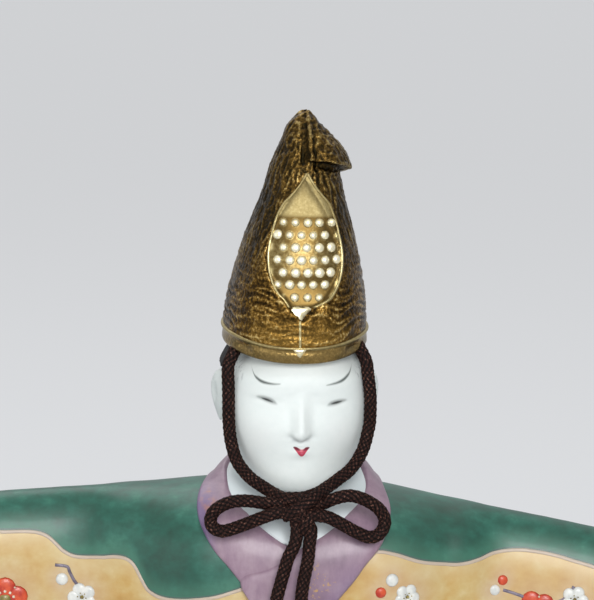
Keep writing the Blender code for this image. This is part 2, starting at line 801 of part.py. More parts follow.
def build_collars(white, mauve):
    """Two white under-collar panels and two mauve panels over them; the viewer's right panel laps over."""
    pieces = []
    right_inner, right_outer = collar_rows(1)
    pieces.append(strip("mauve_collar_right", right_inner, right_outer, mauve))

    # The lapping edge of the right panel, as a line in the front view
    lap_top = right_inner[round(LAP_START_SHARE * (len(right_inner) - 1))]
    lap_foot = right_inner[-1]
    along = Vector((lap_foot.x - lap_top.x, 0, lap_foot.z - lap_top.z)).normalized()
    away = Vector((-along.z, 0, along.x))
    if away.z > 0:
        away = -away
    left_inner, left_outer = collar_rows(-1)
    start = lap_top - away * COLLAR_SEAM
    left_inner, left_outer = clip_rows(left_inner, left_outer, start, away)
    pieces.append(strip("mauve_collar_left", left_inner, left_outer, mauve))

    for side, name, kept in (
        (1, "white_collar_right", WHITE_RIGHT_ROWS_SHARE),
        (-1, "white_collar_left", WHITE_LEFT_ROWS_SHARE),
    ):
        inner, outer = [], []
        rows = collar_rows(side)
        keep = round(kept * (len(rows[0]) - 1))
        for a, b in list(zip(*rows))[: keep + 1]:
            along_chest = (a - b).normalized()
            axis = Vector((HEAD_AXIS_X - a.x, HEAD_AXIS_Y - a.y, 0)).normalized()
            on_chest = smooth_step(LAPEL_START, LAPEL_END, -a.y)
            toward = axis.lerp(along_chest, on_chest).normalized()
            edge = a + toward * COLLAR_SEAM
            width = WHITE_COLLAR_WIDTH + (WHITE_LAPEL_WIDTH - WHITE_COLLAR_WIDTH) * on_chest
            inner.append(edge + toward * width)
            outer.append(edge)
        pieces.append(strip(name, inner, outer, white, 3))
    return pieces


# Neck joint

def neck_foot_height():
    """The height of the neck's flat foot above the base."""
    return SHOULDER_HEIGHT - CHIN_DROP + HEAD_SECTIONS_SHARE[0][0] * HEAD_HEIGHT


def build_neck_sleeve(material):
    """The cork sleeve in the figure's socket: a flanged tube that the head's peg turns in."""
    inner = PEG_RADIUS + SEAT_GAP
    outer = inner + CORK_WALL
    flange = outer + CORK_FLANGE
    top = SHOULDER_HEIGHT - NECK_WELL_DEPTH + SEAT_GAP + CORK_FLANGE_THICKNESS
    under = top - CORK_FLANGE_THICKNESS
    foot = under - PEG_BELOW_NECK + SEAT_GAP
    profile = (
        (inner, top),
        (flange, top),
        (flange, under),
        (outer, under),
        (outer, foot),
        (inner, foot),
        (inner, top),
    )
    sleeve = turned("neck_sleeve", profile, material)
    sleeve.location = (HEAD_AXIS_X, HEAD_AXIS_Y, 0)
    return sleeve


def build_neck_peg(material):
    """The wooden peg: it is glued up into the neck and stands down into the cork sleeve."""
    neck_foot = neck_foot_height()
    top = neck_foot + PEG_IN_HEAD
    foot = SHOULDER_HEIGHT - NECK_WELL_DEPTH - PEG_BELOW_NECK + SEAT_GAP + PEG_CHAMFER
    peg = turned(
        "neck_peg",
        (
            (0, top),
            (PEG_RADIUS - PEG_CHAMFER, top),
            (PEG_RADIUS, top - PEG_CHAMFER),
            (PEG_RADIUS, foot + PEG_CHAMFER),
            (PEG_RADIUS - PEG_CHAMFER, foot),
            (0, foot),
        ),
        material,
    )
    peg.location = (HEAD_AXIS_X, HEAD_AXIS_Y, 0)
    return peg


# Head

def head_point(level, angle, grow=0.0):
    """A point of the head's skin: level runs from 0 at the neck to 1 at the crown, angle is 0 at the face."""
    rows = HEAD_SECTIONS_SHARE
    place_on = level * (len(rows) - 1)
    k = min(int(place_on), len(rows) - 2)
    t = place_on - k
    before, start, end, after = (rows[min(max(k + j, 0), len(rows) - 1)] for j in (-1, 0, 1, 2))
    values = []
    for a, b, c, d in zip(before, start, end, after):
        values.append(
            (2 * t**3 - 3 * t**2 + 1) * b
            + (t**3 - 2 * t**2 + t) * (c - a) / 2
            + (3 * t**2 - 2 * t**3) * c
            + (t**3 - t**2) * (d - b) / 2
        )
    front_z, back_z, width, front, back = values
    back_share = (1 - math.cos(angle)) / 2
    z = (front_z + (back_z - front_z) * back_share) * HEAD_HEIGHT
    x, depth = outline_point(angle + math.pi / 2, 1, 1, HEAD_POWER)
    half_x = width * HEAD_HALF_WIDTH + grow
    half_y = (front if depth > 0 else back) * HEAD_HALF_DEPTH + grow
    return Vector((-x * half_x, -depth * half_y, z))


def face_relief(x, z):
    """How far the face stands out at x and z: the nose and the soft swellings round it."""
    out = 0
    for across, height, wide, tall, lift in FACE_RELIEF_SHARE:
        dx = (x / HEAD_HALF_WIDTH - across) / wide
        dz = (z / HEAD_HEIGHT - height) / tall
        out += lift * NOSE_HEIGHT * math.exp(-dx * dx - dz * dz)
    if NOSE_BASE < z < NOSE_BRIDGE:
        down = min((NOSE_BRIDGE - z) / (NOSE_BRIDGE - NOSE_TIP), 1)
        rise = down**NOSE_RISE_BEND if z > NOSE_TIP else smooth_step(NOSE_BASE, NOSE_TIP, z)
        spread = NOSE_HALF_WIDTH * (NOSE_BRIDGE_WIDTH_SHARE + (1 - NOSE_BRIDGE_WIDTH_SHARE) * down)
        out += NOSE_HEIGHT * rise * math.exp(-((x / spread) ** 2))
    return out


def build_head(material, frame):
    """The head and neck in one casting, with nose, ears and a bore for the peg."""
    rings = []
    for k in range(HEAD_LEVELS):
        ring = []
        for i in range(HEAD_RING_POINTS):
            even = FULL_TURN * i / HEAD_RING_POINTS
            angle = even - FACE_CROWDING * math.sin(even)
            point = head_point(k / (HEAD_LEVELS - 1), angle)
            if math.cos(angle) > 0:
                point.y -= face_relief(point.x, point.z) * math.cos(angle)
            ring.append(point)
        rings.append(ring)
    head = place("head", loft("head", rings), material, frame)

    pitch, roll, yaw = EAR_TURN
    for side, name in ((-1, "left_ear"), (1, "right_ear")):
        ear_x = side * (HEAD_HALF_WIDTH + EAR_STAND)
        turn = (pitch, -side * roll, -side * yaw)
        radii = (EAR_THICKNESS / 2, EAR_DEPTH / 2, EAR_HEIGHT / 2)
        ear = ball(name, radii, (ear_x, EAR_BACK, EAR_MIDDLE_HEIGHT), turn, 14, 10, None, frame)
        combine(head, ear, "UNION")
        hollow_at = (ear_x + side * EAR_HOLLOW_OUT, EAR_HOLLOW_BACK, EAR_MIDDLE_HEIGHT + EAR_HOLLOW_RISE)
        hollow = ball(name + "_hollow", EAR_HOLLOW, hollow_at, turn, 10, 8, None, frame)
        combine(head, hollow, "DIFFERENCE")

    bore_radius = PEG_RADIUS + SEAT_GAP
    neck_foot = neck_foot_height()
    bore = turned(
        "head_bore_cutter",
        (
            (0, neck_foot + PEG_IN_HEAD + SEAT_GAP),
            (bore_radius, neck_foot + PEG_IN_HEAD + SEAT_GAP),
            (bore_radius, neck_foot - CUT_OVERRUN),
            (0, neck_foot - CUT_OVERRUN),
        ),
    )
    bore.location = (HEAD_AXIS_X, HEAD_AXIS_Y, 0)
    combine(head, bore, "DIFFERENCE")
    return head


def build_hair(material, frame):
    """Hair dressed close to the skull from temple to temple behind the ears, up to the cap's brim."""
    rows = []
    for j in range(HAIR_COLUMNS):
        angle = HAIR_FRONT + (FULL_TURN - 2 * HAIR_FRONT) * j / (HAIR_COLUMNS - 1)
        from_front = math.degrees(min(angle, FULL_TURN - angle))
        dropped = smooth_step(HAIR_DROP_START, HAIR_DROP_END, from_front)
        low = TEMPLE_LEVEL_SHARE + (NAPE_LEVEL_SHARE - TEMPLE_LEVEL_SHARE) * dropped
        row = []
        for i in range(HAIR_ROWS):
            level = low + (HAIRLINE_LEVEL_SHARE - low) * i / (HAIR_ROWS - 1)
            row.append(head_point(level, angle, HAIR_GAP))
        rows.append(row)
    hair = place("hair", sheet_mesh("hair", rows), material, frame)
    if hair.data.polygons[0].normal.dot(hair.data.polygons[0].center) < 0:
        hair.data.flip_normals()
    wall = hair.modifiers.new("wall", "SOLIDIFY")
    wall.thickness = HAIR_THICKNESS
    wall.offset = 1
    return hair


# Eboshi

def cap_ring(height, half_width, half_depth, lean, fold, shrink=0.0):
    """One level ring of the cap, from its shares; the fold stands out on the viewer's right."""
    ring = []
    for i in range(CAP_RING_POINTS):
        angle = FULL_TURN * i / CAP_RING_POINTS
        side, depth = outline_point(
            angle, half_width * CAP_HALF_WIDTH - shrink, half_depth * CAP_HALF_DEPTH - shrink, CAP_POWER
        )
        from_front = math.degrees((angle + FULL_TURN / 4) % FULL_TURN)
        cover = smooth_step(FOLD_START, FOLD_FULL, from_front)
        cover *= 1 - smooth_step(FOLD_FADE, FOLD_END, from_front)
        out = Vector((side, depth, 0)).normalized() * (FOLD_THICKNESS * fold * cover)
        z = CAP_BASE + height * CAP_HEIGHT
        ring.append(Vector((lean * CAP_HALF_WIDTH + side, depth, z)) + out)
    return ring


def cap_front(x, z):
    """Y of the cap's front surface at x and z in the head's frame, between its rings."""
    height = (z - CAP_BASE) / CAP_HEIGHT
    low = max((row for row in CAP_RINGS_SHARE if row[0] <= height), key=lambda row: row[0])
    high = min((row for row in CAP_RINGS_SHARE if row[0] > height), key=lambda row: row[0])
    t = (height - low[0]) / (high[0] - low[0])
    _, half_width, half_depth, lean, _ = (a + (b - a) * t for a, b in zip(low, high))
    across = min(abs(x - lean * CAP_HALF_WIDTH) / (half_width * CAP_HALF_WIDTH), 1)
    return -half_depth * CAP_HALF_DEPTH * (1 - across**CAP_POWER) ** (1 / CAP_POWER)


def build_almond_cutter(frame):
    """The dent's cutter: an almond with pointed ends, whose floor follows the cap and dips in the middle."""
    rings = []
    for i in range(ALMOND_ROWS):
        along = 2 * i / (ALMOND_ROWS - 1) - 1
        z = CAP_BASE + ALMOND_FOOT + ALMOND_LENGTH * (along + 1) / 2
        # The widest place lies a little below the middle
        along_bent = along + ALMOND_LOW_SHARE * (1 - along * along)
        half = ALMOND_HALF_WIDTH * max(1 - abs(along_bent) ** ALMOND_POINT_BEND, ALMOND_TIP_SHARE)
        floor = []
        for j in range(ALMOND_COLUMNS):
            across = 2 * j / (ALMOND_COLUMNS - 1) - 1
            dip = 1 - across * across
            depth = ALMOND_EDGE_DEPTH + (ALMOND_MIDDLE_DEPTH - ALMOND_EDGE_DEPTH) * dip
            depth *= 1 - ALMOND_END_SHALLOWING * along**4
            floor.append(Vector((across * half, cap_front(across * half, z) + depth, z)))
        front = [Vector((p.x, -CAP_HALF_DEPTH - CUT_OVERRUN, z)) for p in reversed(floor)]
        rings.append(floor + front)
    return place("almond_dent_cutter", loft("almond_dent_cutter", rings), None, frame)


def build_cap(material, frame):
    """The tall cap: a shell with its peak folded down to the right and an almond dent in its front."""
    rings = []
    rabbet = BAND_THICKNESS + SEAT_GAP
    lean = CAP_RINGS_SHARE[0][3]
    seat = (BAND_HEIGHT + SEAT_GAP) / CAP_HEIGHT
    rings.append(cap_ring(0, BRIM_SHARE, BRIM_SHARE, lean, 0, rabbet))
    rings.append(cap_ring(seat, BAND_TOP_WIDTH_SHARE, BAND_TOP_DEPTH_SHARE, lean, 0, rabbet))
    for row in CAP_RINGS_SHARE:
        rings.append(cap_ring(*row))
    cap = place("eboshi_crown", loft("eboshi_crown", rings), material, frame)

    inset = rabbet + CAP_WALL
    hollow = [cap_ring(z / CAP_HEIGHT, BRIM_SHARE, BRIM_SHARE, lean, 0, inset) for z in (-CUT_OVERRUN, 0)]
    for row in CAP_RINGS_SHARE[1:]:
        if row[0] < CAP_HOLLOW_HEIGHT / CAP_HEIGHT:
            behind_dent = smooth_step(THICKENING_START_SHARE, THICKENING_END_SHARE, row[0])
            wall = max(CAP_WALL + ALMOND_MIDDLE_DEPTH * behind_dent, rabbet + CAP_WALL * RABBET_WALL_SHARE)
            hollow.append(cap_ring(*row[:4], 0, wall))
    hollow_cutter = place("cap_hollow_cutter", loft("cap_hollow_cutter", hollow), None, frame)
    combine(cap, hollow_cutter, "DIFFERENCE")
    combine(cap, build_almond_cutter(frame), "DIFFERENCE")
    return cap


def build_band(material, frame):
    """The cap's brim band, which sits in the rabbet round its lower edge."""
    lean = CAP_RINGS_SHARE[0][3]
    rise = BAND_HEIGHT / CAP_HEIGHT
    inner = [
        cap_ring(0, BRIM_SHARE, BRIM_SHARE, lean, 0, BAND_THICKNESS),
        cap_ring(rise, BAND_TOP_WIDTH_SHARE, BAND_TOP_DEPTH_SHARE, lean, 0, BAND_THICKNESS),
    ]
    outer = []
    for i, (height, half_width, half_depth) in enumerate(BAND_PROFILE_SHARE):
        stand = SEAT_GAP if i < BAND_RIDGE_ROWS else 0
        outer.append(cap_ring(rise * height, half_width, half_depth, lean, 0, -stand))
    return place("eboshi_band", loft("eboshi_band", inner + outer + inner[:1], False, False), material, frame)


# Cord routes in metres, seen from the front: down the cheeks, under the chin, the bow and its tails

CHIN_LEFT_ROUTE = (
    (-0.0118, -0.0104, 0.1596),
    (-0.0127, -0.0096, 0.1565),
    (-0.0131, -0.0087, 0.1520),
    (-0.0126, -0.0093, 0.1470),
    (-0.0108, -0.0116, 0.1418),
    (-0.0081, -0.0139, 0.1385),
    (-0.0050, -0.0156, 0.1369),
    (-0.0012, -0.0170, 0.1361),
)
CHIN_RIGHT_ROUTE = (
    (0.0120, -0.0092, 0.1596),
    (0.0130, -0.0086, 0.1565),
    (0.0135, -0.0078, 0.1520),
    (0.0131, -0.0083, 0.1465),
    (0.0115, -0.0108, 0.1415),
    (0.0090, -0.0135, 0.1387),
    (0.0062, -0.0155, 0.1371),
    (0.0028, -0.0169, 0.1361),
)
LOOP_LEFT_ROUTE = (
    (-0.0034, -0.0190, 0.1360),
    (-0.0062, -0.0197, 0.1369),
    (-0.0090, -0.0200, 0.1371),
    (-0.0122, -0.0198, 0.1365),
    (-0.0149, -0.0195, 0.1346),
    (-0.0160, -0.0193, 0.1323),
    (-0.0150, -0.0197, 0.1302),
    (-0.0126, -0.0203, 0.1298),
    (-0.0097, -0.0208, 0.1312),
    (-0.0066, -0.0211, 0.1332),
    (-0.0034, -0.0212, 0.1344),
)
LOOP_RIGHT_ROUTE = (
    (0.0053, -0.0190, 0.1359),
    (0.0076, -0.0198, 0.1374),
    (0.0098, -0.0201, 0.1382),
    (0.0127, -0.0197, 0.1374),
    (0.0154, -0.0191, 0.1356),
    (0.0167, -0.0187, 0.1332),
    (0.0160, -0.0191, 0.1308),
    (0.0138, -0.0199, 0.1297),
    (0.0110, -0.0206, 0.1304),
    (0.0083, -0.0210, 0.1321),
    (0.0053, -0.0210, 0.1338),
)
TAIL_LEFT_ROUTE = (
    (-0.0006, -0.0208, 0.1321),
    (-0.0008, -0.0213, 0.1295),
    (-0.0013, -0.0217, 0.1265),
    (-0.0020, -0.0219, 0.1235),
    (-0.0027, -0.0219, 0.1205),
    (-0.0036, -0.0219, 0.1140),
    (-0.0046, -0.0219, 0.1050),
    (-0.0056, -0.0219, 0.0960),
    (-0.0062, -0.0219, 0.0890),
)
TAIL_RIGHT_ROUTE = (
    (0.0023, -0.0207, 0.1323),
    (0.0028, -0.0213, 0.1295),
    (0.0028, -0.0217, 0.1265),
    (0.0026, -0.0219, 0.1235),
    (0.0022, -0.0219, 0.1205),
    (0.0017, -0.0219, 0.1140),
    (0.0021, -0.0219, 0.1050),
    (0.0029, -0.0219, 0.0970),
    (0.0034, -0.0219, 0.0910),
)
KNOT_CENTRE = (0.0009, -0.0202, 0.1350)


def build_knot(material):
    """The bow's knot: a cord across, wrapped by a turn in the middle."""
    radii = (KNOT_HALF_WIDTH, KNOT_RADIUS, KNOT_RADIUS)
    knot = ball("cord_knot", radii, KNOT_CENTRE, (0, 0, 0), 16, 12, material)
    wrap_radii = (KNOT_WRAP_WIDTH, KNOT_WRAP_HEIGHT, KNOT_WRAP_HEIGHT)
    wrap = ball("knot_wrap", wrap_radii, KNOT_CENTRE, (0, KNOT_WRAP_TILT, 0), 16, 12)
    combine(knot, wrap, "UNION")
    return knot


def build_tail_knot(name, end, material):
    """The overhand knot that keeps a tail's end from fraying."""
    x, y, z = end
    centre = (x, y, z - TAIL_KNOT_RADII[2] - SEAT_GAP)
    return ball(name, TAIL_KNOT_RADII, centre, (0, 0, 0), 12, 8, material)


def main():
    clear_scene()
    glaze_green = finish("green_glaze", (0.06, 0.21, 0.15), 0.35)
    glaze_ochre = finish("ochre_glaze", (0.62, 0.43, 0.16), 0.4)
    white_cloth = finish("white_glaze", (0.60, 0.66, 0.68), 0.45)
    mauve_cloth = finish("mauve_glaze", (0.38, 0.25, 0.32), 0.45)
    belt_paint = finish("belt_paint", (0.62, 0.60, 0.55), 0.5)
    felt = finish("felt", (0.05, 0.12, 0.08), 0.95)
    cork = finish("cork", (0.42, 0.24, 0.12), 0.9)
    wood = finish("wood", (0.55, 0.38, 0.20), 0.7)
    porcelain = finish("white_face", (0.82, 0.87, 0.86), 0.5)
    black_hair = finish("black_hair", (0.012, 0.012, 0.014), 0.5)
    gilt = finish("gilt", (0.42, 0.28, 0.07), 0.28, 1.0)
    braid = finish("brown_braid", (0.035, 0.012, 0.010), 0.75)

    build_base_felt(felt)
    build_hakama(glaze_ochre)
    build_belt(belt_paint)
    build_robe(glaze_green)
    build_collars(white_cloth, mauve_cloth)
    build_neck_sleeve(cork)
    build_neck_peg(wood)

    frame = bpy.data.objects.new("head_frame", None)
    bpy.data.collections[GUIDES].objects.link(frame)
    frame.location = (HEAD_AXIS_X, HEAD_AXIS_Y, SHOULDER_HEIGHT - CHIN_DROP)
    frame.rotation_euler = (HEAD_PITCH, 0, HEAD_TURN)
    build_head(porcelain, frame)
    build_hair(black_hair, frame)
    build_cap(gilt, frame)
    build_band(gilt, frame)

    radius = CORD_DIAMETER / 2
    tube("chin_cord_left", CHIN_LEFT_ROUTE, radius, braid)
    tube("chin_cord_right", CHIN_RIGHT_ROUTE, radius, braid)
    tube("bow_loop_left", LOOP_LEFT_ROUTE, radius, braid)
    tube("bow_loop_right", LOOP_RIGHT_ROUTE, radius, braid)
    tube("cord_tail_left", TAIL_LEFT_ROUTE, radius, braid)
    tube("cord_tail_right", TAIL_RIGHT_ROUTE, radius, braid)
    build_knot(braid)
    build_tail_knot("tail_knot_left", TAIL_LEFT_ROUTE[-1], braid)
    build_tail_knot("tail_knot_right", TAIL_RIGHT_ROUTE[-1], braid)


main()
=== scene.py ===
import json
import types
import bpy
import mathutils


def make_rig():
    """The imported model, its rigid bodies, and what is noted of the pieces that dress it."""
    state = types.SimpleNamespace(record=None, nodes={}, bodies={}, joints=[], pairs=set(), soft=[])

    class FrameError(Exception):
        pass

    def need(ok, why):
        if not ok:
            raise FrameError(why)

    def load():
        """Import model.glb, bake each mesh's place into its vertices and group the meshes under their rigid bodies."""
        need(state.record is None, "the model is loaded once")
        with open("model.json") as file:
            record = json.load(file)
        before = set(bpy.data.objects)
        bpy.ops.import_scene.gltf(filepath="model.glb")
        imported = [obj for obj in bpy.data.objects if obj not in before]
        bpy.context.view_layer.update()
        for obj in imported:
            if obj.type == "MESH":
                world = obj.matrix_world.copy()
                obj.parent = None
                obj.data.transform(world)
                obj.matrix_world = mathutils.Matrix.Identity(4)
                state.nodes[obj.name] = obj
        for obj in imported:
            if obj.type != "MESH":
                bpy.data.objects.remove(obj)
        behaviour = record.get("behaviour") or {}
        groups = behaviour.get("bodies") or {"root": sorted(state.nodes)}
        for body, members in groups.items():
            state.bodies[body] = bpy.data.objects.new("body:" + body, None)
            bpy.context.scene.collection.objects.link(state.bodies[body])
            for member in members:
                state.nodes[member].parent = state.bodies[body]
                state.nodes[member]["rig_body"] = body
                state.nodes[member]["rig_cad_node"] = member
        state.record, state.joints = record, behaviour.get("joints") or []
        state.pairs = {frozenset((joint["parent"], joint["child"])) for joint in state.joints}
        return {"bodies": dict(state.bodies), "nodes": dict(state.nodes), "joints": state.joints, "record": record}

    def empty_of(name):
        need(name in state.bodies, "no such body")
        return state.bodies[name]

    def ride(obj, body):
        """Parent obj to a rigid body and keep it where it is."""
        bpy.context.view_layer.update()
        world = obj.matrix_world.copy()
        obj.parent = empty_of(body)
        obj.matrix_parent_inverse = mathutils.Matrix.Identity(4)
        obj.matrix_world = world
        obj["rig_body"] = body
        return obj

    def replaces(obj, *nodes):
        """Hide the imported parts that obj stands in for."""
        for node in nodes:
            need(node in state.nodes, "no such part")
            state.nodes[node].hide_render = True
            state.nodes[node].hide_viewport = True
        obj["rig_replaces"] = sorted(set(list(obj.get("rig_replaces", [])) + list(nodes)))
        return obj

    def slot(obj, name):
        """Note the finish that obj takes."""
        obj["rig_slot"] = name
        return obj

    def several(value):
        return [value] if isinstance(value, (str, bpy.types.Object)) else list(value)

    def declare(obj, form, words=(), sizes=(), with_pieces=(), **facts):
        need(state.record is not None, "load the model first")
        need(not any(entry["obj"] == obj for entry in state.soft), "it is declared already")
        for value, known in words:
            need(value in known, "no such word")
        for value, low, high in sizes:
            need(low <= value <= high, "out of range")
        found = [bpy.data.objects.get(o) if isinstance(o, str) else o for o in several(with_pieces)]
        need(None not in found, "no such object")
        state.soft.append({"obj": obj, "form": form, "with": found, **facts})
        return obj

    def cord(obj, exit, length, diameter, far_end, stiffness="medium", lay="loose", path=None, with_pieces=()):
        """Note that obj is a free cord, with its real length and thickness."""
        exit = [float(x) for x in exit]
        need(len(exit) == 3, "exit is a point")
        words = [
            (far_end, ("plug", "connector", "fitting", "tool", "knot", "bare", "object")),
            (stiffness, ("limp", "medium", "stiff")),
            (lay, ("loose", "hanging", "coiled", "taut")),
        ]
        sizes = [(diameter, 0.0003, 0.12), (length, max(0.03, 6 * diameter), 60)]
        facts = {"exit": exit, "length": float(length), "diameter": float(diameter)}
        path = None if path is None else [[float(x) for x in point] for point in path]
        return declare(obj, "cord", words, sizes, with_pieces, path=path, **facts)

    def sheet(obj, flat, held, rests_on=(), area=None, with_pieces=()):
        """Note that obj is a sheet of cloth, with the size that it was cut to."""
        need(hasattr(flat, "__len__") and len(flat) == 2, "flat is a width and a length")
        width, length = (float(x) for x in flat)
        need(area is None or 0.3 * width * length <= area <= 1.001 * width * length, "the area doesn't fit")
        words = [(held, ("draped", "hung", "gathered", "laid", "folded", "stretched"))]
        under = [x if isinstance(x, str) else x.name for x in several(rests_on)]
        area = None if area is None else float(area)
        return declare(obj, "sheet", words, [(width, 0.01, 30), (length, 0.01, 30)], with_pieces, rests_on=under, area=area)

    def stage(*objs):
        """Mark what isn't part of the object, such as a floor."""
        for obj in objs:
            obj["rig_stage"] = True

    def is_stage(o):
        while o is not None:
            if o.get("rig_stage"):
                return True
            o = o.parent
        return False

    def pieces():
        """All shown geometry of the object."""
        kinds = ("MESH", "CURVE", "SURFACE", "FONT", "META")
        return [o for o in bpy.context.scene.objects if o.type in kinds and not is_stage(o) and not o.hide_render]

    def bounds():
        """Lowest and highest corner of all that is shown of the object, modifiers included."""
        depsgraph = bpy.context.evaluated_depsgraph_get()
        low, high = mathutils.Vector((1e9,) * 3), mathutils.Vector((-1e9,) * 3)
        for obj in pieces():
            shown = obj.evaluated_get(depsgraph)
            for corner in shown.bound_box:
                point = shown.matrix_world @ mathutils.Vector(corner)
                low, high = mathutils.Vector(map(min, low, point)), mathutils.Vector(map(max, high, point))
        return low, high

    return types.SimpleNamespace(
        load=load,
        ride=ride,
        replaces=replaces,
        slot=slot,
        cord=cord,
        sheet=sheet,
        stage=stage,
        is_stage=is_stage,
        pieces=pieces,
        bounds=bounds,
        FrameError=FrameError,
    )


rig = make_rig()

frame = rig.load()
cad_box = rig.bounds()

# %% [markdown]
# # A standing hina doll
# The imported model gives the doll's solids and how its head moves. This notebook dresses them: a matte
# white painted face, a gilded cap of crinkled work, a braided cord in a bow, and a glazed robe with an
# enamelled border. Everything is in metres, and the doll faces -Y.

# %% Tools and the doll's own numbers
import json
import math

import bmesh
import bpy
import numpy as np
from mathutils import Euler, Matrix, Vector, noise
from mathutils.bvhtree import BVHTree

MM = 0.001
FIGURE = "figure"
HEAD = "head_and_cap"
CORK = "cork"
HEAD_PLACE = Matrix.LocRotScale(
    Vector((-0.0003, 0.0005, 0.1370)), Euler((math.radians(3.5), 0, math.radians(4))), None
)
HEAD_INVERSE = HEAD_PLACE.inverted()


def deselect():
    """Nothing selected, because an operator acts on all that is."""
    if bpy.context.mode != "OBJECT":
        bpy.ops.object.mode_set(mode="OBJECT")
    bpy.ops.object.select_all(action="DESELECT")


def pick(thing):
    """One object selected and active."""
    deselect()
    thing.select_set(True)
    bpy.context.view_layer.objects.active = thing
    return thing


def triangles(thing):
    """How many triangles a piece has as it will be exported."""
    mesh = thing.evaluated_get(bpy.context.evaluated_depsgraph_get()).to_mesh()
    mesh.calc_loop_triangles()
    return len(mesh.loop_triangles)


print("bodies:", list(frame["bodies"]), "nodes:", len(frame["nodes"]))

# %% [markdown]
# ## The camera
# The photograph looks slightly down on the doll from close by, so the head and shoulders fill the frame.
# A point of the knot is pinned to its pixel, and the camera is set back from it along the line of sight.

# %% Camera at the photograph's angle
PHOTO_WIDTH, PHOTO_HEIGHT = 594, 600
ELEVATION = math.radians(10)
ROLL = math.radians(1.2)
DISTANCE = 0.450
HALF_VIEW = math.radians(13.7 / 2)
PIN_POINT = Vector((0.0009, -0.0125, 0.1376))
PIN_PIXEL = (300, 489)

sight = Vector((0, math.cos(ELEVATION), -math.sin(ELEVATION)))
level = Vector((1, 0, 0))
upright = Vector((0, math.sin(ELEVATION), math.cos(ELEVATION)))
camera_right = level * math.cos(ROLL) + upright * math.sin(ROLL)
camera_up = upright * math.cos(ROLL) - level * math.sin(ROLL)
pixel_size = 2 * DISTANCE * math.tan(HALF_VIEW) / PHOTO_HEIGHT
camera_place = (
    PIN_POINT
    - sight * DISTANCE
    - camera_right * ((PIN_PIXEL[0] - PHOTO_WIDTH / 2) * pixel_size)
    + camera_up * ((PIN_PIXEL[1] - PHOTO_HEIGHT / 2) * pixel_size)
)
lens = bpy.data.cameras.new("photo_camera")
lens.sensor_width = 24
lens.lens = lens.sensor_width / 2 / math.tan(HALF_VIEW)
lens.clip_start, lens.clip_end = 0.01, 20
camera = bpy.data.objects.new("photo_camera", lens)
bpy.context.scene.collection.objects.link(camera)
camera.matrix_world = Matrix((
    (camera_right.x, camera_up.x, -sight.x, camera_place.x),
    (camera_right.y, camera_up.y, -sight.y, camera_place.y),
    (camera_right.z, camera_up.z, -sight.z, camera_place.z),
    (0, 0, 0, 1),
))
bpy.context.scene.camera = camera
bpy.context.scene.view_settings.view_transform = "Standard"


def from_photo(px, py, y):
    """The point of the vertical plane at y that the photograph shows at a pixel."""
    ray = (
        sight
        + camera_right * ((px - PHOTO_WIDTH / 2) * pixel_size / DISTANCE)
        - camera_up * ((py - PHOTO_HEIGHT / 2) * pixel_size / DISTANCE)
    )
    return camera_place + ray * ((y - camera_place.y) / ray.y)


print(f"camera {camera_place.length * 1000:.0f} mm away, one pixel is {pixel_size * 1000:.3f} mm")

# %% [markdown]
# ## Shader maths as plain expressions
# A material is a formula over a surface. A small class wraps each socket, so that a formula can be
# written with +, -, * and brackets, and one method adds any other node.

# %% Sockets that add and multiply
class Term:
    """A socket of a material, or a number, that adds and multiplies like a number."""

    def __init__(self, recipe, socket):
        self.recipe = recipe
        self.socket = socket

    def with_other(self, operation, other, swapped=False):
        pair = (other, self) if swapped else (self, other)
        return self.recipe.node("ShaderNodeMath", {"operation": operation}, *pair)

    def __add__(self, other):
        return self.with_other("ADD", other)

    def __sub__(self, other):
        return self.with_other("SUBTRACT", other)

    def __rsub__(self, other):
        return self.with_other("SUBTRACT", other, True)

    def __mul__(self, other):
        return self.with_other("MULTIPLY", other)

    def __truediv__(self, other):
        return self.with_other("DIVIDE", other)

    def __rtruediv__(self, other):
        return self.with_other("DIVIDE", other, True)

    def __pow__(self, other):
        return self.with_other("POWER", other)

    __radd__ = __add__
    __rmul__ = __mul__

    def least(self, other):
        return self.with_other("MINIMUM", other)

    def most(self, other):
        return self.with_other("MAXIMUM", other)

    def size(self):
        return self.recipe.node("ShaderNodeMath", {"operation": "ABSOLUTE"}, self)

    def step(self, low, high, start=0.0, end=1.0):
        """A soft step from start at low to end at high."""
        settings = {"interpolation_type": "SMOOTHSTEP"}
        return self.recipe.node("ShaderNodeMapRange", settings, self, low, high, start, end)

    def ridge(self, middle, half):
        """1 at middle, and 0 from half away on either side."""
        return (self - middle).size().step(0, half, 1, 0)


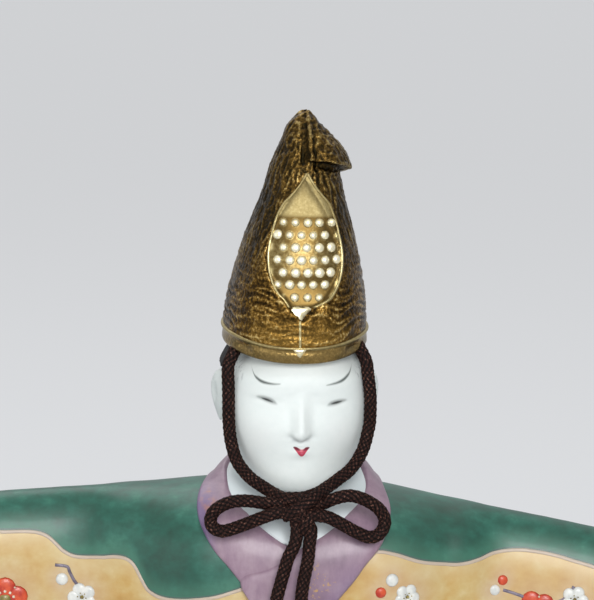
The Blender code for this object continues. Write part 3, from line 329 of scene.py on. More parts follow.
class Recipe:
    """A material under construction, with its Principled shader and the object's coordinates."""

    def __init__(self, name, roughness=0.5, metallic=0.0):
        self.material = bpy.data.materials.new(name)
        self.material.use_nodes = True
        self.tree = self.material.node_tree
        self.shader = self.tree.nodes["Principled BSDF"]
        self.shader.inputs["Roughness"].default_value = roughness
        self.shader.inputs["Metallic"].default_value = metallic
        self.place = self.node("ShaderNodeTexCoord", {"_out": "Object"})

    def node(self, kind, settings, *values, **named):
        """Add a node: its settings first, then its sockets in order or by name. _out picks its output."""
        made = self.tree.nodes.new(kind)
        out = settings.get("_out", 0)
        for key, value in settings.items():
            if key == "_stops":
                for i, (at, colour) in enumerate(value):
                    stop = made.color_ramp.elements[i] if i < 2 else made.color_ramp.elements.new(at)
                    stop.position = at
                    stop.color = (*colour, 1)
            elif key == "_curve":
                for i, point in enumerate(value):
                    line = made.mapping.curves[0]
                    if i < 2:
                        line.points[i].location = point
                    else:
                        line.points.new(*point)
                made.mapping.update()
            elif key != "_out":
                setattr(made, key, value)
        for key, value in [*enumerate(values), *named.items()]:
            self.feed(made.inputs[key], value)
        return Term(self, made.outputs[out])

    def feed(self, socket, value):
        """Link a term to a socket, or set the socket's own value."""
        if isinstance(value, Term):
            self.tree.links.new(value.socket, socket)
        elif isinstance(value, tuple) and len(value) == 3 and socket.type == "RGBA":
            socket.default_value = (*value, 1)
        else:
            socket.default_value = value

    def axes(self, place=None):
        """X, Y and Z of a place as terms."""
        split = self.tree.nodes.new("ShaderNodeSeparateXYZ")
        self.feed(split.inputs[0], place or self.place)
        return [Term(self, out) for out in split.outputs]

    def cloud(self, scale, detail=3, rough=0.5, place=None, stretch=None):
        """Soft noise from 0 to 1, with its size as a scale, and its direction as a stretch."""
        place = place or self.place
        if stretch:
            place = self.node("ShaderNodeVectorMath", {"operation": "MULTIPLY"}, place, stretch)
        return self.node("ShaderNodeTexNoise", {}, Vector=place, Scale=scale, Detail=detail, Roughness=rough)

    def blend(self, factor, first, second, mode="MIX"):
        """A colour between two colours."""
        made = self.tree.nodes.new("ShaderNodeMix")
        made.data_type = "RGBA"
        made.blend_type = mode
        self.feed(made.inputs[0], factor)
        self.feed(made.inputs[6], first)
        self.feed(made.inputs[7], second)
        return Term(self, made.outputs[2])

    def bump(self, height, distance, strength=1.0):
        """Surface relief from a height of 0 to 1."""
        made = self.node("ShaderNodeBump", {}, Strength=strength, Distance=distance, Height=height)
        self.feed(self.shader.inputs["Normal"], made)

    def done(self, colour, roughness=None):
        self.feed(self.shader.inputs["Base Color"], colour)
        if roughness is not None:
            self.feed(self.shader.inputs["Roughness"], roughness)
        return self.material


def paint(red, green, blue):
    """A colour as it is seen, 0 to 255, in the shader's linear numbers."""
    return tuple(
        c / 12.92 if c <= 0.04045 else ((c + 0.055) / 1.055) ** 2.4
        for c in (red / 255, green / 255, blue / 255)
    )


print("recipes ready")

# %% [markdown]
# ## The stage and the light
# A wide pale floor runs out to a pale sky, so nothing competes with the doll from any side. One large
# soft lamp stands above the camera's right, where the photograph's flash was, a weaker one fills from the
# left, and the sky fills the shadows. The sky is darker low down, which gives the gilding something to
# reflect.

# %% Floor, sky and lamps
FLOOR_HALF = 12.0
FLOOR_GREY = paint(205, 208, 212)

deselect()
bpy.ops.mesh.primitive_plane_add(size=2 * FLOOR_HALF)
floor = bpy.context.object
floor.name = "studio_floor"
bpy.ops.object.mode_set(mode="EDIT")
bpy.ops.mesh.subdivide(number_cuts=7)
bpy.ops.object.mode_set(mode="OBJECT")
stage_paint = Recipe("studio_paper", roughness=0.9)
stage_paint.done(FLOOR_GREY)


def seen(tree):
    """1 for a ray from the camera, or off a polished surface, and 0 for light on its way to the doll."""
    path = tree.nodes.new("ShaderNodeLightPath")
    total = path.outputs["Is Camera Ray"]
    for word in ("Is Glossy Ray", "Is Transmission Ray"):
        either = tree.nodes.new("ShaderNodeMath")
        either.operation = "MAXIMUM"
        tree.links.new(total, either.inputs[0])
        tree.links.new(path.outputs[word], either.inputs[1])
        total = either.outputs[0]
    return total


def mixed(tree, factor, first, second, output):
    """Mix two shaders into the material's or the world's output."""
    made = tree.nodes.new("ShaderNodeMixShader")
    tree.links.new(factor, made.inputs[0])
    tree.links.new(first, made.inputs[1])
    tree.links.new(second, made.inputs[2])
    tree.links.new(made.outputs[0], output)


# The paper glows a little for the camera, so that it stays pale while the doll's shadow still shows
PAPER_GLOW = 0.55
glow = stage_paint.tree.nodes.new("ShaderNodeEmission")
glow.inputs["Color"].default_value = (*paint(246, 247, 249), 1)
part_seen = stage_paint.tree.nodes.new("ShaderNodeMath")
part_seen.operation = "MULTIPLY"
part_seen.inputs[1].default_value = PAPER_GLOW
stage_paint.tree.links.new(seen(stage_paint.tree), part_seen.inputs[0])
paper_out = stage_paint.tree.nodes["Material Output"].inputs["Surface"]
mixed(stage_paint.tree, part_seen.outputs[0], stage_paint.shader.outputs[0], glow.outputs[0], paper_out)
floor.data.materials.append(stage_paint.material)
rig.stage(floor)


def lamp(name, place, aim, size, power, colour=(1, 1, 1)):
    """A soft square lamp that points at a place."""
    light = bpy.data.lights.new(name, "AREA")
    light.size = size
    light.energy = power
    light.color = colour
    thing = bpy.data.objects.new(name, light)
    bpy.context.scene.collection.objects.link(thing)
    thing.location = place
    thing.rotation_euler = (Vector(aim) - Vector(place)).to_track_quat("-Z", "Y").to_euler()
    return thing


FACE_LEVEL = (0, 0, 0.14)
lamp("key_lamp", (0.08, -0.80, 0.50), FACE_LEVEL, 0.30, 5.2)
lamp("fill_lamp", (-0.80, -0.60, 0.30), FACE_LEVEL, 0.60, 1.3)
lamp("top_lamp", (-0.15, 0.45, 0.85), FACE_LEVEL, 0.60, 2.4)

room = bpy.data.worlds.new("studio_sky")
bpy.context.scene.world = room
room.use_nodes = True
sky = room.node_tree.nodes["Background"]
look = room.node_tree.nodes.new("ShaderNodeTexCoord")
split = room.node_tree.nodes.new("ShaderNodeSeparateXYZ")
ramp = room.node_tree.nodes.new("ShaderNodeValToRGB")
ramp.color_ramp.elements[0].position = 0.0
ramp.color_ramp.elements[0].color = (*paint(206, 209, 213), 1)
ramp.color_ramp.elements[1].position = 0.8
ramp.color_ramp.elements[1].color = (*paint(250, 251, 252), 1)
room.node_tree.links.new(look.outputs["Generated"], split.inputs[0])
room.node_tree.links.new(split.outputs["Z"], ramp.inputs[0])
room.node_tree.links.new(ramp.outputs[0], sky.inputs["Color"])
sky.inputs["Strength"].default_value = 0.42
shown = room.node_tree.nodes.new("ShaderNodeBackground")
shown.inputs["Strength"].default_value = 0.92
room.node_tree.links.new(ramp.outputs[0], shown.inputs["Color"])
world_out = room.node_tree.nodes["World Output"].inputs["Surface"]
mixed(room.node_tree, seen(room.node_tree), sky.outputs[0], shown.outputs[0], world_out)
print("stage set with 3 lamps")

# %% [markdown]
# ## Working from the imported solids
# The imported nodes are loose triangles. A refined piece starts as a copy of its node with its corners
# merged, so that it can be rounded and carved, and rays onto the solids find where trim has to sit.

# %% Copies of nodes and points on their surfaces
def copy_of(node, name):
    """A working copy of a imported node, with its corners merged and its triangles paired up."""
    thing = frame["nodes"][node].copy()
    thing.data = frame["nodes"][node].data.copy()
    thing.name = name
    thing.data.name = name
    for key in list(thing.keys()):
        del thing[key]
    thing.parent = None
    thing.data.materials.clear()
    bpy.context.scene.collection.objects.link(thing)
    pick(thing)
    bpy.ops.object.mode_set(mode="EDIT")
    bpy.ops.mesh.select_all(action="SELECT")
    bpy.ops.mesh.remove_doubles(threshold=0.000002)
    bpy.ops.mesh.tris_convert_to_quads(face_threshold=math.radians(50), shape_threshold=math.radians(50))
    bpy.ops.mesh.customdata_custom_splitnormals_clear()
    bpy.ops.object.mode_set(mode="OBJECT")
    thing.data.shade_smooth()
    return thing


def apply(thing, kind, **settings):
    """Add a modifier with its settings and apply it."""
    pick(thing)
    step = thing.modifiers.new(kind.lower(), kind)
    for key, value in settings.items():
        setattr(step, key, value)
    bpy.ops.object.modifier_apply(modifier=step.name)
    return thing


def move_points(thing, shift):
    """Move every vertex by a function of its place and its normal."""
    mesh = thing.data
    normals = [v.normal.copy() for v in mesh.vertices]
    for vertex, normal in zip(mesh.vertices, normals):
        vertex.co = shift(vertex.co.copy(), normal)
    mesh.update()


def tree_of(thing):
    """A search tree of a mesh, for rays and nearest points."""
    work = bmesh.new()
    work.from_mesh(thing.data)
    tree = BVHTree.FromBMesh(work)
    work.free()
    return tree


def facing_point(tree, x, z, side=-1):
    """The first point of a surface that a level ray from the front, or from the back, meets at x and z."""
    hit = tree.ray_cast(Vector((x, side * 0.2, z)), Vector((0, -side, 0)))
    return hit[0], hit[1]


def joined(name, parts):
    """One piece from several, with its place in its mesh."""
    deselect()
    for part in parts:
        part.select_set(True)
    bpy.context.view_layer.objects.active = parts[0]
    if len(parts) > 1:
        bpy.ops.object.join()
    whole = bpy.context.object
    whole.name = name
    whole.data.name = name
    bpy.ops.object.transform_apply(location=True, rotation=True, scale=True)
    return whole


def dress(thing, material, body, slot, *nodes):
    """Give a piece its finish, its body and its slot, and hide the nodes that it stands for."""
    thing.data.materials.clear()
    thing.data.materials.append(material)
    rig.ride(thing, body)
    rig.slot(thing, slot)
    if nodes:
        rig.replaces(thing, *nodes)
    print(f"{thing.name}: {triangles(thing)} triangles on {body}")
    return thing


def repaint(node, material):
    """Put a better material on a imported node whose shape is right."""
    thing = frame["nodes"][node]
    thing.data.materials.clear()
    thing.data.materials.append(material)


# %% [markdown]
# ## The braided cord
# The chin cord is a round braid of dark brown silk, about 2.4 mm thick. It comes down both cheeks from
# inside the cap, meets under the chin in a bow, and its two ends hang to a small overhand knot. Each half
# is one tube along a smooth route, and its skin is raised in lozenge stitches that alternate between the
# two directions of the braid, which is how a plaited cord catches the light.

# %% Routes of the two halves
CORD_DIAMETER = 0.0024
STITCHES_ROUND = 8
SIDES = 40
STEP = 0.00019
STITCH_RELIEF = 0.00022

def mm(points):
    """Points in millimetres as metres."""
    return [tuple(value * MM for value in point) for point in points]


# The first points of each half run up inside the cap's brim
CHIN_LEFT = mm([
    (-10.2, -7.3, 164.2), (-11.0, -7.7, 162.7), (-11.8, -8.6, 161.1), (-12.4, -9.0, 159.6),
    (-12.5, -9.4, 157.9), (-12.4, -9.6, 156.0), (-12.3, -9.7, 152.7), (-12.2, -9.6, 149.2),
    (-11.9, -9.7, 146.4), (-11.5, -10.0, 144.6), (-10.9, -10.6, 142.8), (-9.9, -11.8, 141.3),
    (-7.9, -13.9, 139.7), (-5.4, -16.2, 138.6), (-3.4, -17.7, 137.8), (-1.4, -18.8, 137.1),
])
CHIN_RIGHT = mm([
    (10.2, -6.8, 164.2), (11.2, -7.4, 162.6), (12.3, -8.5, 160.6), (12.7, -8.6, 158.3),
    (13.0, -8.6, 156.3), (13.3, -8.4, 153.4), (13.3, -8.2, 149.4), (13.0, -8.5, 147.6),
    (12.6, -9.0, 145.8), (12.0, -9.9, 144.2), (11.0, -11.3, 142.6), (9.6, -12.9, 141.2),
    (8.0, -14.5, 140.3), (6.2, -16.2, 139.3), (4.5, -17.7, 138.5), (2.8, -18.8, 137.7),
])
LOOP_LEFT = mm([
    (-3.4, -19.6, 136.7), (-5.3, -20.0, 136.8), (-7.2, -20.2, 137.1), (-9.1, -20.2, 137.2),
    (-11.2, -20.0, 136.9), (-13.1, -19.7, 136.0), (-14.4, -19.4, 134.8), (-14.9, -19.3, 133.3),
    (-14.4, -19.5, 132.0), (-12.9, -19.9, 131.5), (-11.4, -20.3, 131.9), (-10.0, -20.6, 132.5),
    (-7.8, -21.0, 133.5), (-5.4, -21.3, 134.6), (-3.1, -21.3, 135.4),
])
LOOP_RIGHT = mm([
    (4.9, -19.6, 136.9), (6.6, -20.0, 137.7), (8.2, -20.2, 138.3), (9.9, -20.1, 138.5),
    (11.8, -19.8, 138.0), (13.5, -19.4, 137.1), (15.0, -19.0, 135.9), (16.0, -18.8, 134.2),
    (15.9, -19.0, 132.5), (14.8, -19.5, 131.2), (13.2, -20.0, 131.0), (11.2, -20.5, 131.9),
    (9.3, -20.9, 133.0), (7.6, -21.2, 134.0), (5.6, -21.3, 134.9),
])
TAIL_LEFT = mm([
    (0.5, -21.5, 132.4), (0.2, -21.8, 130.0), (-0.9, -21.9, 127.5), (-1.6, -21.9, 125.0),
    (-2.2, -21.9, 122.6), (-2.8, -21.9, 120.0), (-3.8, -21.9, 114.0), (-4.7, -21.9, 105.0),
    (-5.6, -21.9, 96.0), (-6.2, -21.9, 89.0),
])
TAIL_RIGHT = mm([
    (3.0, -21.5, 132.4), (2.75, -21.8, 130.0), (2.6, -21.9, 127.5), (2.2, -21.9, 125.0),
    (1.8, -21.9, 122.6), (1.55, -21.9, 120.0), (1.5, -21.9, 114.0), (2.0, -21.9, 105.0),
    (2.8, -21.9, 97.0), (3.4, -21.9, 91.0),
])
KNOT_CENTRE = Vector(mm([(1.3, -20.3, 136.0)])[0])


def smooth_line(points, step):
    """A Catmull-Rom curve through points, with even steps along it."""
    points = [Vector(p) for p in points]
    fine = []
    for i in range(len(points) - 1):
        a, b, c, d = (points[min(max(i + j, 0), len(points) - 1)] for j in (-1, 0, 1, 2))
        for k in range(60):
            t = k / 60
            fine.append(0.5 * (
                2 * b + (c - a) * t + (2 * a - 5 * b + 4 * c - d) * t * t
                + (3 * b - a - 3 * c + d) * t * t * t
            ))
    fine.append(points[-1])
    along = np.concatenate([[0], np.cumsum([(q - p).length for p, q in zip(fine, fine[1:])])])
    count = max(4, round(along[-1] / step) + 1)
    wanted = np.linspace(0, along[-1], count)
    columns = [np.interp(wanted, along, [p[i] for p in fine]) for i in range(3)]
    return [Vector(p) for p in zip(*columns)]


def length_of(line):
    return sum((b - a).length for a, b in zip(line, line[1:]))


def stitch_height(around, along):
    """The braid's height from 0 in a groove to 1 on a strand, by turns round and stitches along."""
    u, v = around * STITCHES_ROUND + along, around * STITCHES_ROUND - along
    row, column = math.floor(u), math.floor(v)
    fu, fv = u - row, v - column
    across, lengthwise = (fv, fu) if (row + column) % 2 == 0 else (fu, fv)
    return math.sin(math.pi * across) ** 0.55 * (0.62 + 0.38 * math.sin(math.pi * lengthwise))


def braid(name, line, diameter=CORD_DIAMETER, closed=False, phase=0.0):
    """A braided tube along a line, with its stitches in its skin and their height as an attribute."""
    line = [Vector(p) for p in line]
    count = len(line)
    tangents = []
    for i in range(count):
        before = line[i - 1] if i or closed else line[i]
        after = line[(i + 1) % count] if i < count - 1 or closed else line[i]
        tangents.append((after - before).normalized())
    across = tangents[0].orthogonal().normalized()
    verts, heights = [], []
    stitch_length = math.pi * diameter / STITCHES_ROUND * 1.25
    travelled = 0.0
    for i in range(count):
        if i:
            travelled += (line[i] - line[i - 1]).length
            across = (tangents[i - 1].rotation_difference(tangents[i]) @ across).normalized()
        up = tangents[i].cross(across)
        for j in range(SIDES):
            turn = j / SIDES
            height = stitch_height(turn + phase, travelled / stitch_length)
            radius = diameter / 2 - STITCH_RELIEF * (1 - height)
            angle = 2 * math.pi * turn
            verts.append(line[i] + (across * math.cos(angle) + up * math.sin(angle)) * radius)
            heights.append(height)
    faces = []
    for i in range(count if closed else count - 1):
        low, high = i * SIDES, (i + 1) % count * SIDES
        for j in range(SIDES):
            k = (j + 1) % SIDES
            faces.append((low + j, low + k, high + k, high + j))
    if not closed:
        for ring, centre, order in ((0, line[0], 1), ((count - 1) * SIDES, line[-1], -1)):
            verts.append(centre)
            heights.append(0.3)
            for j in range(SIDES):
                rim = (ring + j, len(verts) - 1, ring + (j + 1) % SIDES)
                faces.append(rim[::order])
    mesh = bpy.data.meshes.new(name)
    mesh.from_pydata(verts, [], faces)
    mesh.attributes.new("stitch", "FLOAT", "POINT").data.foreach_set("value", heights)
    work = bmesh.new()
    work.from_mesh(mesh)
    bmesh.ops.recalc_face_normals(work, faces=work.faces)
    work.to_mesh(mesh)
    work.free()
    mesh.shade_smooth()
    thing = bpy.data.objects.new(name, mesh)
    bpy.context.scene.collection.objects.link(thing)
    return thing


def half_route(chin, loop, tail, side):
    """One half of the cord: down the cheek, through the knot, round its loop, through again and down."""
    inside_first = [tuple(KNOT_CENTRE + Vector((side * 0.0008, 0.0007, 0.0006)))]
    inside_second = [
        tuple(KNOT_CENTRE + Vector((side * 0.0012, -0.0009, -0.0006))),
        tuple(KNOT_CENTRE + Vector((side * 0.0010, -0.0010, -0.0022))),
    ]
    return smooth_line(chin + inside_first + loop + inside_second + tail, STEP)


left_line = half_route(CHIN_LEFT, LOOP_LEFT, TAIL_LEFT, -1)
right_line = half_route(CHIN_RIGHT, LOOP_RIGHT, TAIL_RIGHT, 1)
print(f"cord halves {length_of(left_line) * 1000:.1f} and {length_of(right_line) * 1000:.1f} mm")

# %% [markdown]
# The braid's colour comes from its own relief: strand tops are painted lighter brown with painted sheen flecks,
# and the grooves between them are painted nearly black as painted shade.

# %% Brown silk
silk = Recipe("brown_silk_braid", roughness=0.55)
stitch = silk.node("ShaderNodeAttribute", {"attribute_name": "stitch", "_out": "Fac"})
# Painted shade in the grooves and a painted highlight on the strand tops, both from the stitch height
strand_top = stitch.step(0.45, 0.98)
sheen_flecks = silk.cloud(2900, 2).step(0.55, 0.68) * strand_top
brown = silk.blend(strand_top, paint(4, 2, 2), paint(50, 29, 24))
brown = silk.blend(sheen_flecks * 0.75, brown, paint(132, 92, 78))
silk.shader.inputs["Specular IOR Level"].default_value = 0.12
silk_braid = silk.done(brown, 0.72 - sheen_flecks * 0.3)


def overhand_knot(name, centre, size, phase):
    """A small overhand knot: a braided ring that leans, round a short braided core."""
    ring = []
    for i in range(90):
        angle = 2 * math.pi * i / 90
        ring.append(centre + Vector((
            size * 0.62 * math.cos(angle), size * 0.45 * math.sin(angle), size * 0.42 * math.cos(angle + phase),
        )))
    turn = braid(name + "_turn", ring, size * 1.02, True)
    core = smooth_line([centre + Vector((0, 0, size * f)) for f in (0.80, 0.3, -0.3, -0.84)], STEP)
    return joined(name, [turn, braid(name + "_core", core, size * 1.0)])


# The bow's knot, in millimetres: the two halves cross under the chin, and a turn of the cord wraps them
KNOT_BARS = [
    [(5.6, -16.9, 139.1), (3.9, -20.0, 138.4), (2.0, -21.9, 137.3), (0.0, -22.3, 136.0), (-1.9, -21.6, 134.9)],
    [(-4.2, -17.0, 138.0), (-2.2, -19.4, 137.6), (0.4, -20.3, 137.2), (2.6, -20.0, 136.9), (4.9, -19.3, 136.4)],
    [(-2.6, -19.0, 137.5), (-0.4, -19.7, 137.7), (1.8, -19.7, 137.9), (3.8, -19.2, 138.5)],
    [(5.2, -20.6, 134.7), (3.6, -21.7, 135.2), (1.6, -22.0, 134.8), (-0.6, -21.4, 134.5)],
    [(2.2, -20.4, 135.4), (2.6, -22.1, 134.9), (1.8, -22.4, 133.4), (1.7, -21.6, 132.2)],
]
KNOT_WRAP = (1.5, 1.9, 1.7)


def bow_knot():
    parts = [
        braid(f"knot_bar_{k}", smooth_line(mm(bar), STEP), CORD_DIAMETER, False, 0.2 * k)
        for k, bar in enumerate(KNOT_BARS)
    ]
    wide, deep, tall = (value * MM for value in KNOT_WRAP)
    wrap = []
    for i in range(120):
        angle = 2 * math.pi * i / 120
        out = Vector((0.35 * wide * math.sin(angle), deep * math.cos(angle), tall * math.sin(angle)))
        wrap.append(KNOT_CENTRE + Matrix.Rotation(math.radians(-28), 3, "Y") @ out)
    parts.append(braid("knot_wrap", wrap, CORD_DIAMETER, True))
    return joined("bow_knot", parts)


knot = dress(bow_knot(), silk_braid, HEAD, "brown_braid", "cord_knot")
ends = []
for side, tail, phase in (("left", TAIL_LEFT, 0.6), ("right", TAIL_RIGHT, -0.8)):
    centre = Vector(tail[-1]) - Vector((0, 0, 0.0017))
    end = overhand_knot(f"end_knot_{side}", centre, 0.0019, phase)
    ends.append(dress(end, silk_braid, HEAD, "brown_braid", f"tail_knot_{side}"))

for side, line, end, more in (("left", left_line, ends[0], [knot]), ("right", right_line, ends[1], [])):
    half = braid(f"chin_cord_{side}_half", line)
    dress(
        half, silk_braid, HEAD, "brown_braid",
        f"chin_cord_{side}", f"bow_loop_{side}", f"cord_tail_{side}",
    )
    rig.cord(
        half, exit=tuple(line[0]), length=length_of(line), diameter=CORD_DIAMETER, far_end="knot",
        stiffness="limp", lay="hanging", path=[tuple(p) for p in line[::6]] + [tuple(line[-1])],
        with_pieces=[end] + more,
    )

# %% [markdown]
# ## The head
# The head is white bisque with a soft satin skin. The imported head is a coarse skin, so a copy is rounded
# by subdivision, laid out again in small even squares, and relaxed. The lips and eyelids are then raised
# by moving points, which is how a sculptor would press them into clay.

# %% Rounded head with lips and lids
def keep_corners(thing, degrees):
    """Crease the edges where the surface turns sharply, so that rounding leaves them crisp."""
    work = bmesh.new()
    work.from_mesh(thing.data)
    crease = work.edges.layers.float.new("crease_edge")
    for edge in work.edges:
        if edge.is_manifold and edge.calc_face_angle(0) > math.radians(degrees):
            edge[crease] = 0.85
    work.to_mesh(thing.data)
    work.free()


def spread(thing, values, rounds):
    """Values on a mesh's points, evened out along its edges."""
    count = len(thing.data.vertices)
    ends = np.empty(len(thing.data.edges) * 2, dtype=np.int64)
    thing.data.edges.foreach_get("vertices", ends)
    ends = ends.reshape(-1, 2)
    links = np.maximum(np.bincount(ends.ravel(), minlength=count), 1)
    for _ in range(rounds):
        total = np.bincount(ends[:, 0], values[ends[:, 1]], count)
        total += np.bincount(ends[:, 1], values[ends[:, 0]], count)
        values = (values + total / links) / 2
    return values


def restore_size(thing, node, rounds=24):
    """Rounding shrinks a shape: move its skin back out, evenly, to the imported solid's skin."""
    tree = tree_of(frame["nodes"][node])
    vertices = thing.data.vertices
    gaps = np.array([(tree.find_nearest(v.co)[0] - v.co).dot(v.normal) for v in vertices])
    gaps = spread(thing, gaps, rounds)
    for vertex, move in zip(vertices, [v.normal * float(gap) for v, gap in zip(vertices, gaps)]):
        vertex.co += move
    thing.data.update()
    print(f"{thing.name}: mean gap {np.abs(gaps).mean() * 1000:.2f} mm closed")


def refined(node, name, rounding, square, relax=4, factor=0.5, sharp=None):
    """A copy of a node, rounded, laid out again in even squares, relaxed and brought back to size."""
    thing = copy_of(node, name)
    if sharp:
        keep_corners(thing, sharp)
    if rounding:
        apply(thing, "SUBSURF", levels=rounding, render_levels=rounding)
    apply(thing, "REMESH", mode="VOXEL", voxel_size=square)
    apply(thing, "SMOOTH", factor=factor, iterations=relax)
    restore_size(thing, node)
    thing.data.shade_smooth()
    return thing


def bell(distance, width):
    """1 at distance 0, falling smoothly to nothing a few widths away."""
    return math.exp(-(distance / width) ** 2)


MOUTH_X, LIP_LOW_Z, LIP_HIGH_Z, MOUTH_LINE_Z = 0.00035, 0.00835, 0.00975, 0.00912
NOSE_X, NOSE_FOOT_Z, NOSE_ROOT_Z = 0.0002, 0.0111, 0.0195


# How far each ear stands out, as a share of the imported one, by height in millimetres
EAR_BY_HEIGHT = ((9.0, 0.45), (10.9, 0.52), (12.6, 0.64), (14.4, 0.78), (16.8, 0.92), (19.0, 1.0))
SKULL_SIDE = 0.0125


def smooth_share(value, low, high):
    """A soft step from 0 at low to 1 at high."""
    share = min(1.0, max(0.0, (value - low) / (high - low)))
    return share * share * (3 - 2 * share)


def face_outline(point, normal):
    """Tapered ears, a fuller jaw and a chin that comes down to the bow."""
    local = HEAD_INVERSE @ point
    if local.y > -0.005 and abs(local.x) > SKULL_SIDE and 0.006 < local.z < 0.026:
        share = float(np.interp(local.z / MM, *zip(*EAR_BY_HEIGHT)))
        local.x = math.copysign(SKULL_SIDE + (abs(local.x) - SKULL_SIDE) * share, local.x)
        return HEAD_PLACE @ local
    if local.y < -0.001:
        fade = smooth_share(-local.y, 0.001, 0.006)
        side = smooth_share(abs(local.x), 0.004, 0.010)
        push = (0.00045 if local.x > 0 else 0.00020) * side * bell(local.z - 0.0085, 0.0055)
        local.x += math.copysign(push * fade, local.x)
        low = 1 - smooth_share(local.z, 0.0, 0.0075)
        local.z -= 0.00070 * low * bell(local.x - 0.0008, 0.0085) * fade
    return HEAD_PLACE @ local


def face_shape(point, normal):
    """Lips, eyelids and the nose's ridge, raised from the skin in the head's own axes."""
    local = HEAD_INVERSE @ point
    if local.y > -0.004:
        return point
    x = local.x - MOUTH_X
    lips = bell(x, 0.0011) * bell(local.z - LIP_LOW_Z, 0.0007) * 0.00032
    lips += bell(x, 0.0013) * bell(local.z - LIP_HIGH_Z, 0.0005) * 0.00020
    lips -= bell(x, 0.0014) * bell(local.z - MOUTH_LINE_Z, 0.00024) * 0.00016
    lips -= bell(x, 0.0016) * bell(local.z - 0.0067, 0.0006) * 0.00014
    x = local.x - NOSE_X
    climb = (local.z - NOSE_FOOT_Z) / (NOSE_ROOT_Z - NOSE_FOOT_Z)
    along = max(0.0, 1 - climb) ** 0.5 * (1 if climb > 0 else bell(climb, 0.05)) if climb < 1 else 0.0
    nose = bell(x, 0.0007) * along * 0.00042
    nose += bell(abs(x) - 0.00125, 0.0006) * bell(local.z - 0.0119, 0.0007) * 0.00026
    nose -= bell(abs(x) - 0.0022, 0.0010) * along * 0.00034
    nose -= bell(x, 0.0018) * bell(local.z - 0.0104, 0.0006) * 0.00018
    lids = 0.0
    for eye_x, eye_z in ((-0.0061, 0.0178), (0.0066, 0.0172)):
        lids += bell(local.x - eye_x, 0.0023) * bell(local.z - eye_z - 0.0009, 0.0007) * 0.00018
        lids += bell(local.x - eye_x, 0.0021) * bell(local.z - eye_z + 0.0009, 0.0006) * 0.00012
        lids -= bell(local.x - eye_x, 0.0021) * bell(local.z - eye_z, 0.0003) * 0.00012
    return point + normal * (lips + nose + lids)


head = refined("head", "bisque_head", 2, 0.00036, 5)
move_points(head, face_outline)
move_points(head, face_shape)

# %% [markdown]
# The face is painted with brushes on the bare white: two fine slanted eyes, two brows brushed thick in
# the middle, and small red lips. Each brush stroke is a curve through the points where the brush went,
# with its half width along the way, written in millimetres of the head's own axes.

# %% Brush strokes and the painted face
def own_axes(recipe, scale=1000.0):
    """The head's own axes in millimetres: x to the viewer's right, z up from the chin."""
    turned = recipe.node(
        "ShaderNodeMapping", {"vector_type": "TEXTURE"}, recipe.place,
        HEAD_PLACE.translation, HEAD_PLACE.to_euler(), (1 / scale, 1 / scale, 1 / scale),
    )
    return turned


def graph(recipe, term, points, low, high):
    """A smooth curve of a term: points of (term, value), with values between low and high."""
    first, last = points[0][0], points[-1][0]
    across = (term - first) / (last - first)
    curve = [((x - first) / (last - first), (v - low) / (high - low)) for x, v in points]
    made = recipe.node("ShaderNodeFloatCurve", {"_curve": curve}, Value=across)
    return made * (high - low) + low


def stroke(recipe, x, z, rows, soft=0.10):
    """A brush stroke: rows of (x, z, half width), soft at its edges and ended at its first and last x."""
    middle = graph(recipe, x, [(a, b) for a, b, _ in rows], -5, 30)
    half = graph(recipe, x, [(a, w) for a, _, w in rows], 0, 3)
    inside = (half + soft - (z - middle).size()) / (2 * soft)
    ends = x.step(rows[0][0] - soft, rows[0][0] + soft) * x.step(rows[-1][0] - soft, rows[-1][0] + soft, 1, 0)
    return inside.step(0, 1) * ends


skin = Recipe("bisque_face_paint", roughness=0.42)
head_axes = own_axes(skin)
fx, fy, fz = skin.axes(head_axes)
front = fy.step(-6, -3, 1, 0)

EYE_LEFT = [
    (-7.9, 18.3, 0.05), (-7.0, 18.2, 0.34), (-6.0, 17.98, 0.46), (-5.0, 17.66, 0.38), (-4.2, 17.3, 0.05),
]
EYE_RIGHT = [
    (4.8, 17.0, 0.05), (5.6, 17.26, 0.38), (6.5, 17.42, 0.46), (7.5, 17.56, 0.32), (8.4, 17.62, 0.05),
]
PUPIL_LEFT = [(-7.0, 18.1, 0.03), (-6.3, 17.95, 0.20), (-5.7, 17.78, 0.20), (-4.9, 17.52, 0.03)]
PUPIL_RIGHT = [(5.5, 17.16, 0.03), (6.3, 17.32, 0.21), (6.9, 17.4, 0.20), (7.6, 17.5, 0.03)]
BROW_LEFT = [
    (-8.65, 22.9, 0.03), (-8.3, 22.1, 0.14), (-7.7, 21.55, 0.24), (-7.0, 21.22, 0.26), (-6.0, 21.05, 0.20),
    (-4.9, 21.0, 0.12), (-3.7, 21.1, 0.02),
]
BROW_RIGHT = [
    (4.5, 20.85, 0.02), (5.6, 21.0, 0.12), (6.6, 21.15, 0.19), (7.6, 21.45, 0.26), (8.3, 21.85, 0.24),
    (9.0, 22.45, 0.15), (9.4, 23.1, 0.03),
]
LIPS = [
    (-1.0, 9.24, 0.14), (-0.5, 8.93, 0.44), (0.0, 8.46, 0.62), (0.38, 8.30, 0.66), (0.76, 8.45, 0.62),
    (1.15, 8.90, 0.46), (1.62, 9.18, 0.14),
]
CORNER_LEFT = [(-1.15, 9.36, 0.10), (-0.75, 9.22, 0.26), (-0.2, 8.96, 0.20), (0.1, 8.80, 0.04)]
CORNER_RIGHT = [(0.65, 8.82, 0.04), (0.95, 9.0, 0.20), (1.4, 9.18, 0.25), (1.78, 9.30, 0.10)]


def pair(one, other, soft):
    """Two strokes as one mask on the face."""
    return stroke(skin, fx, fz, one, soft).most(stroke(skin, fx, fz, other, soft)) * front


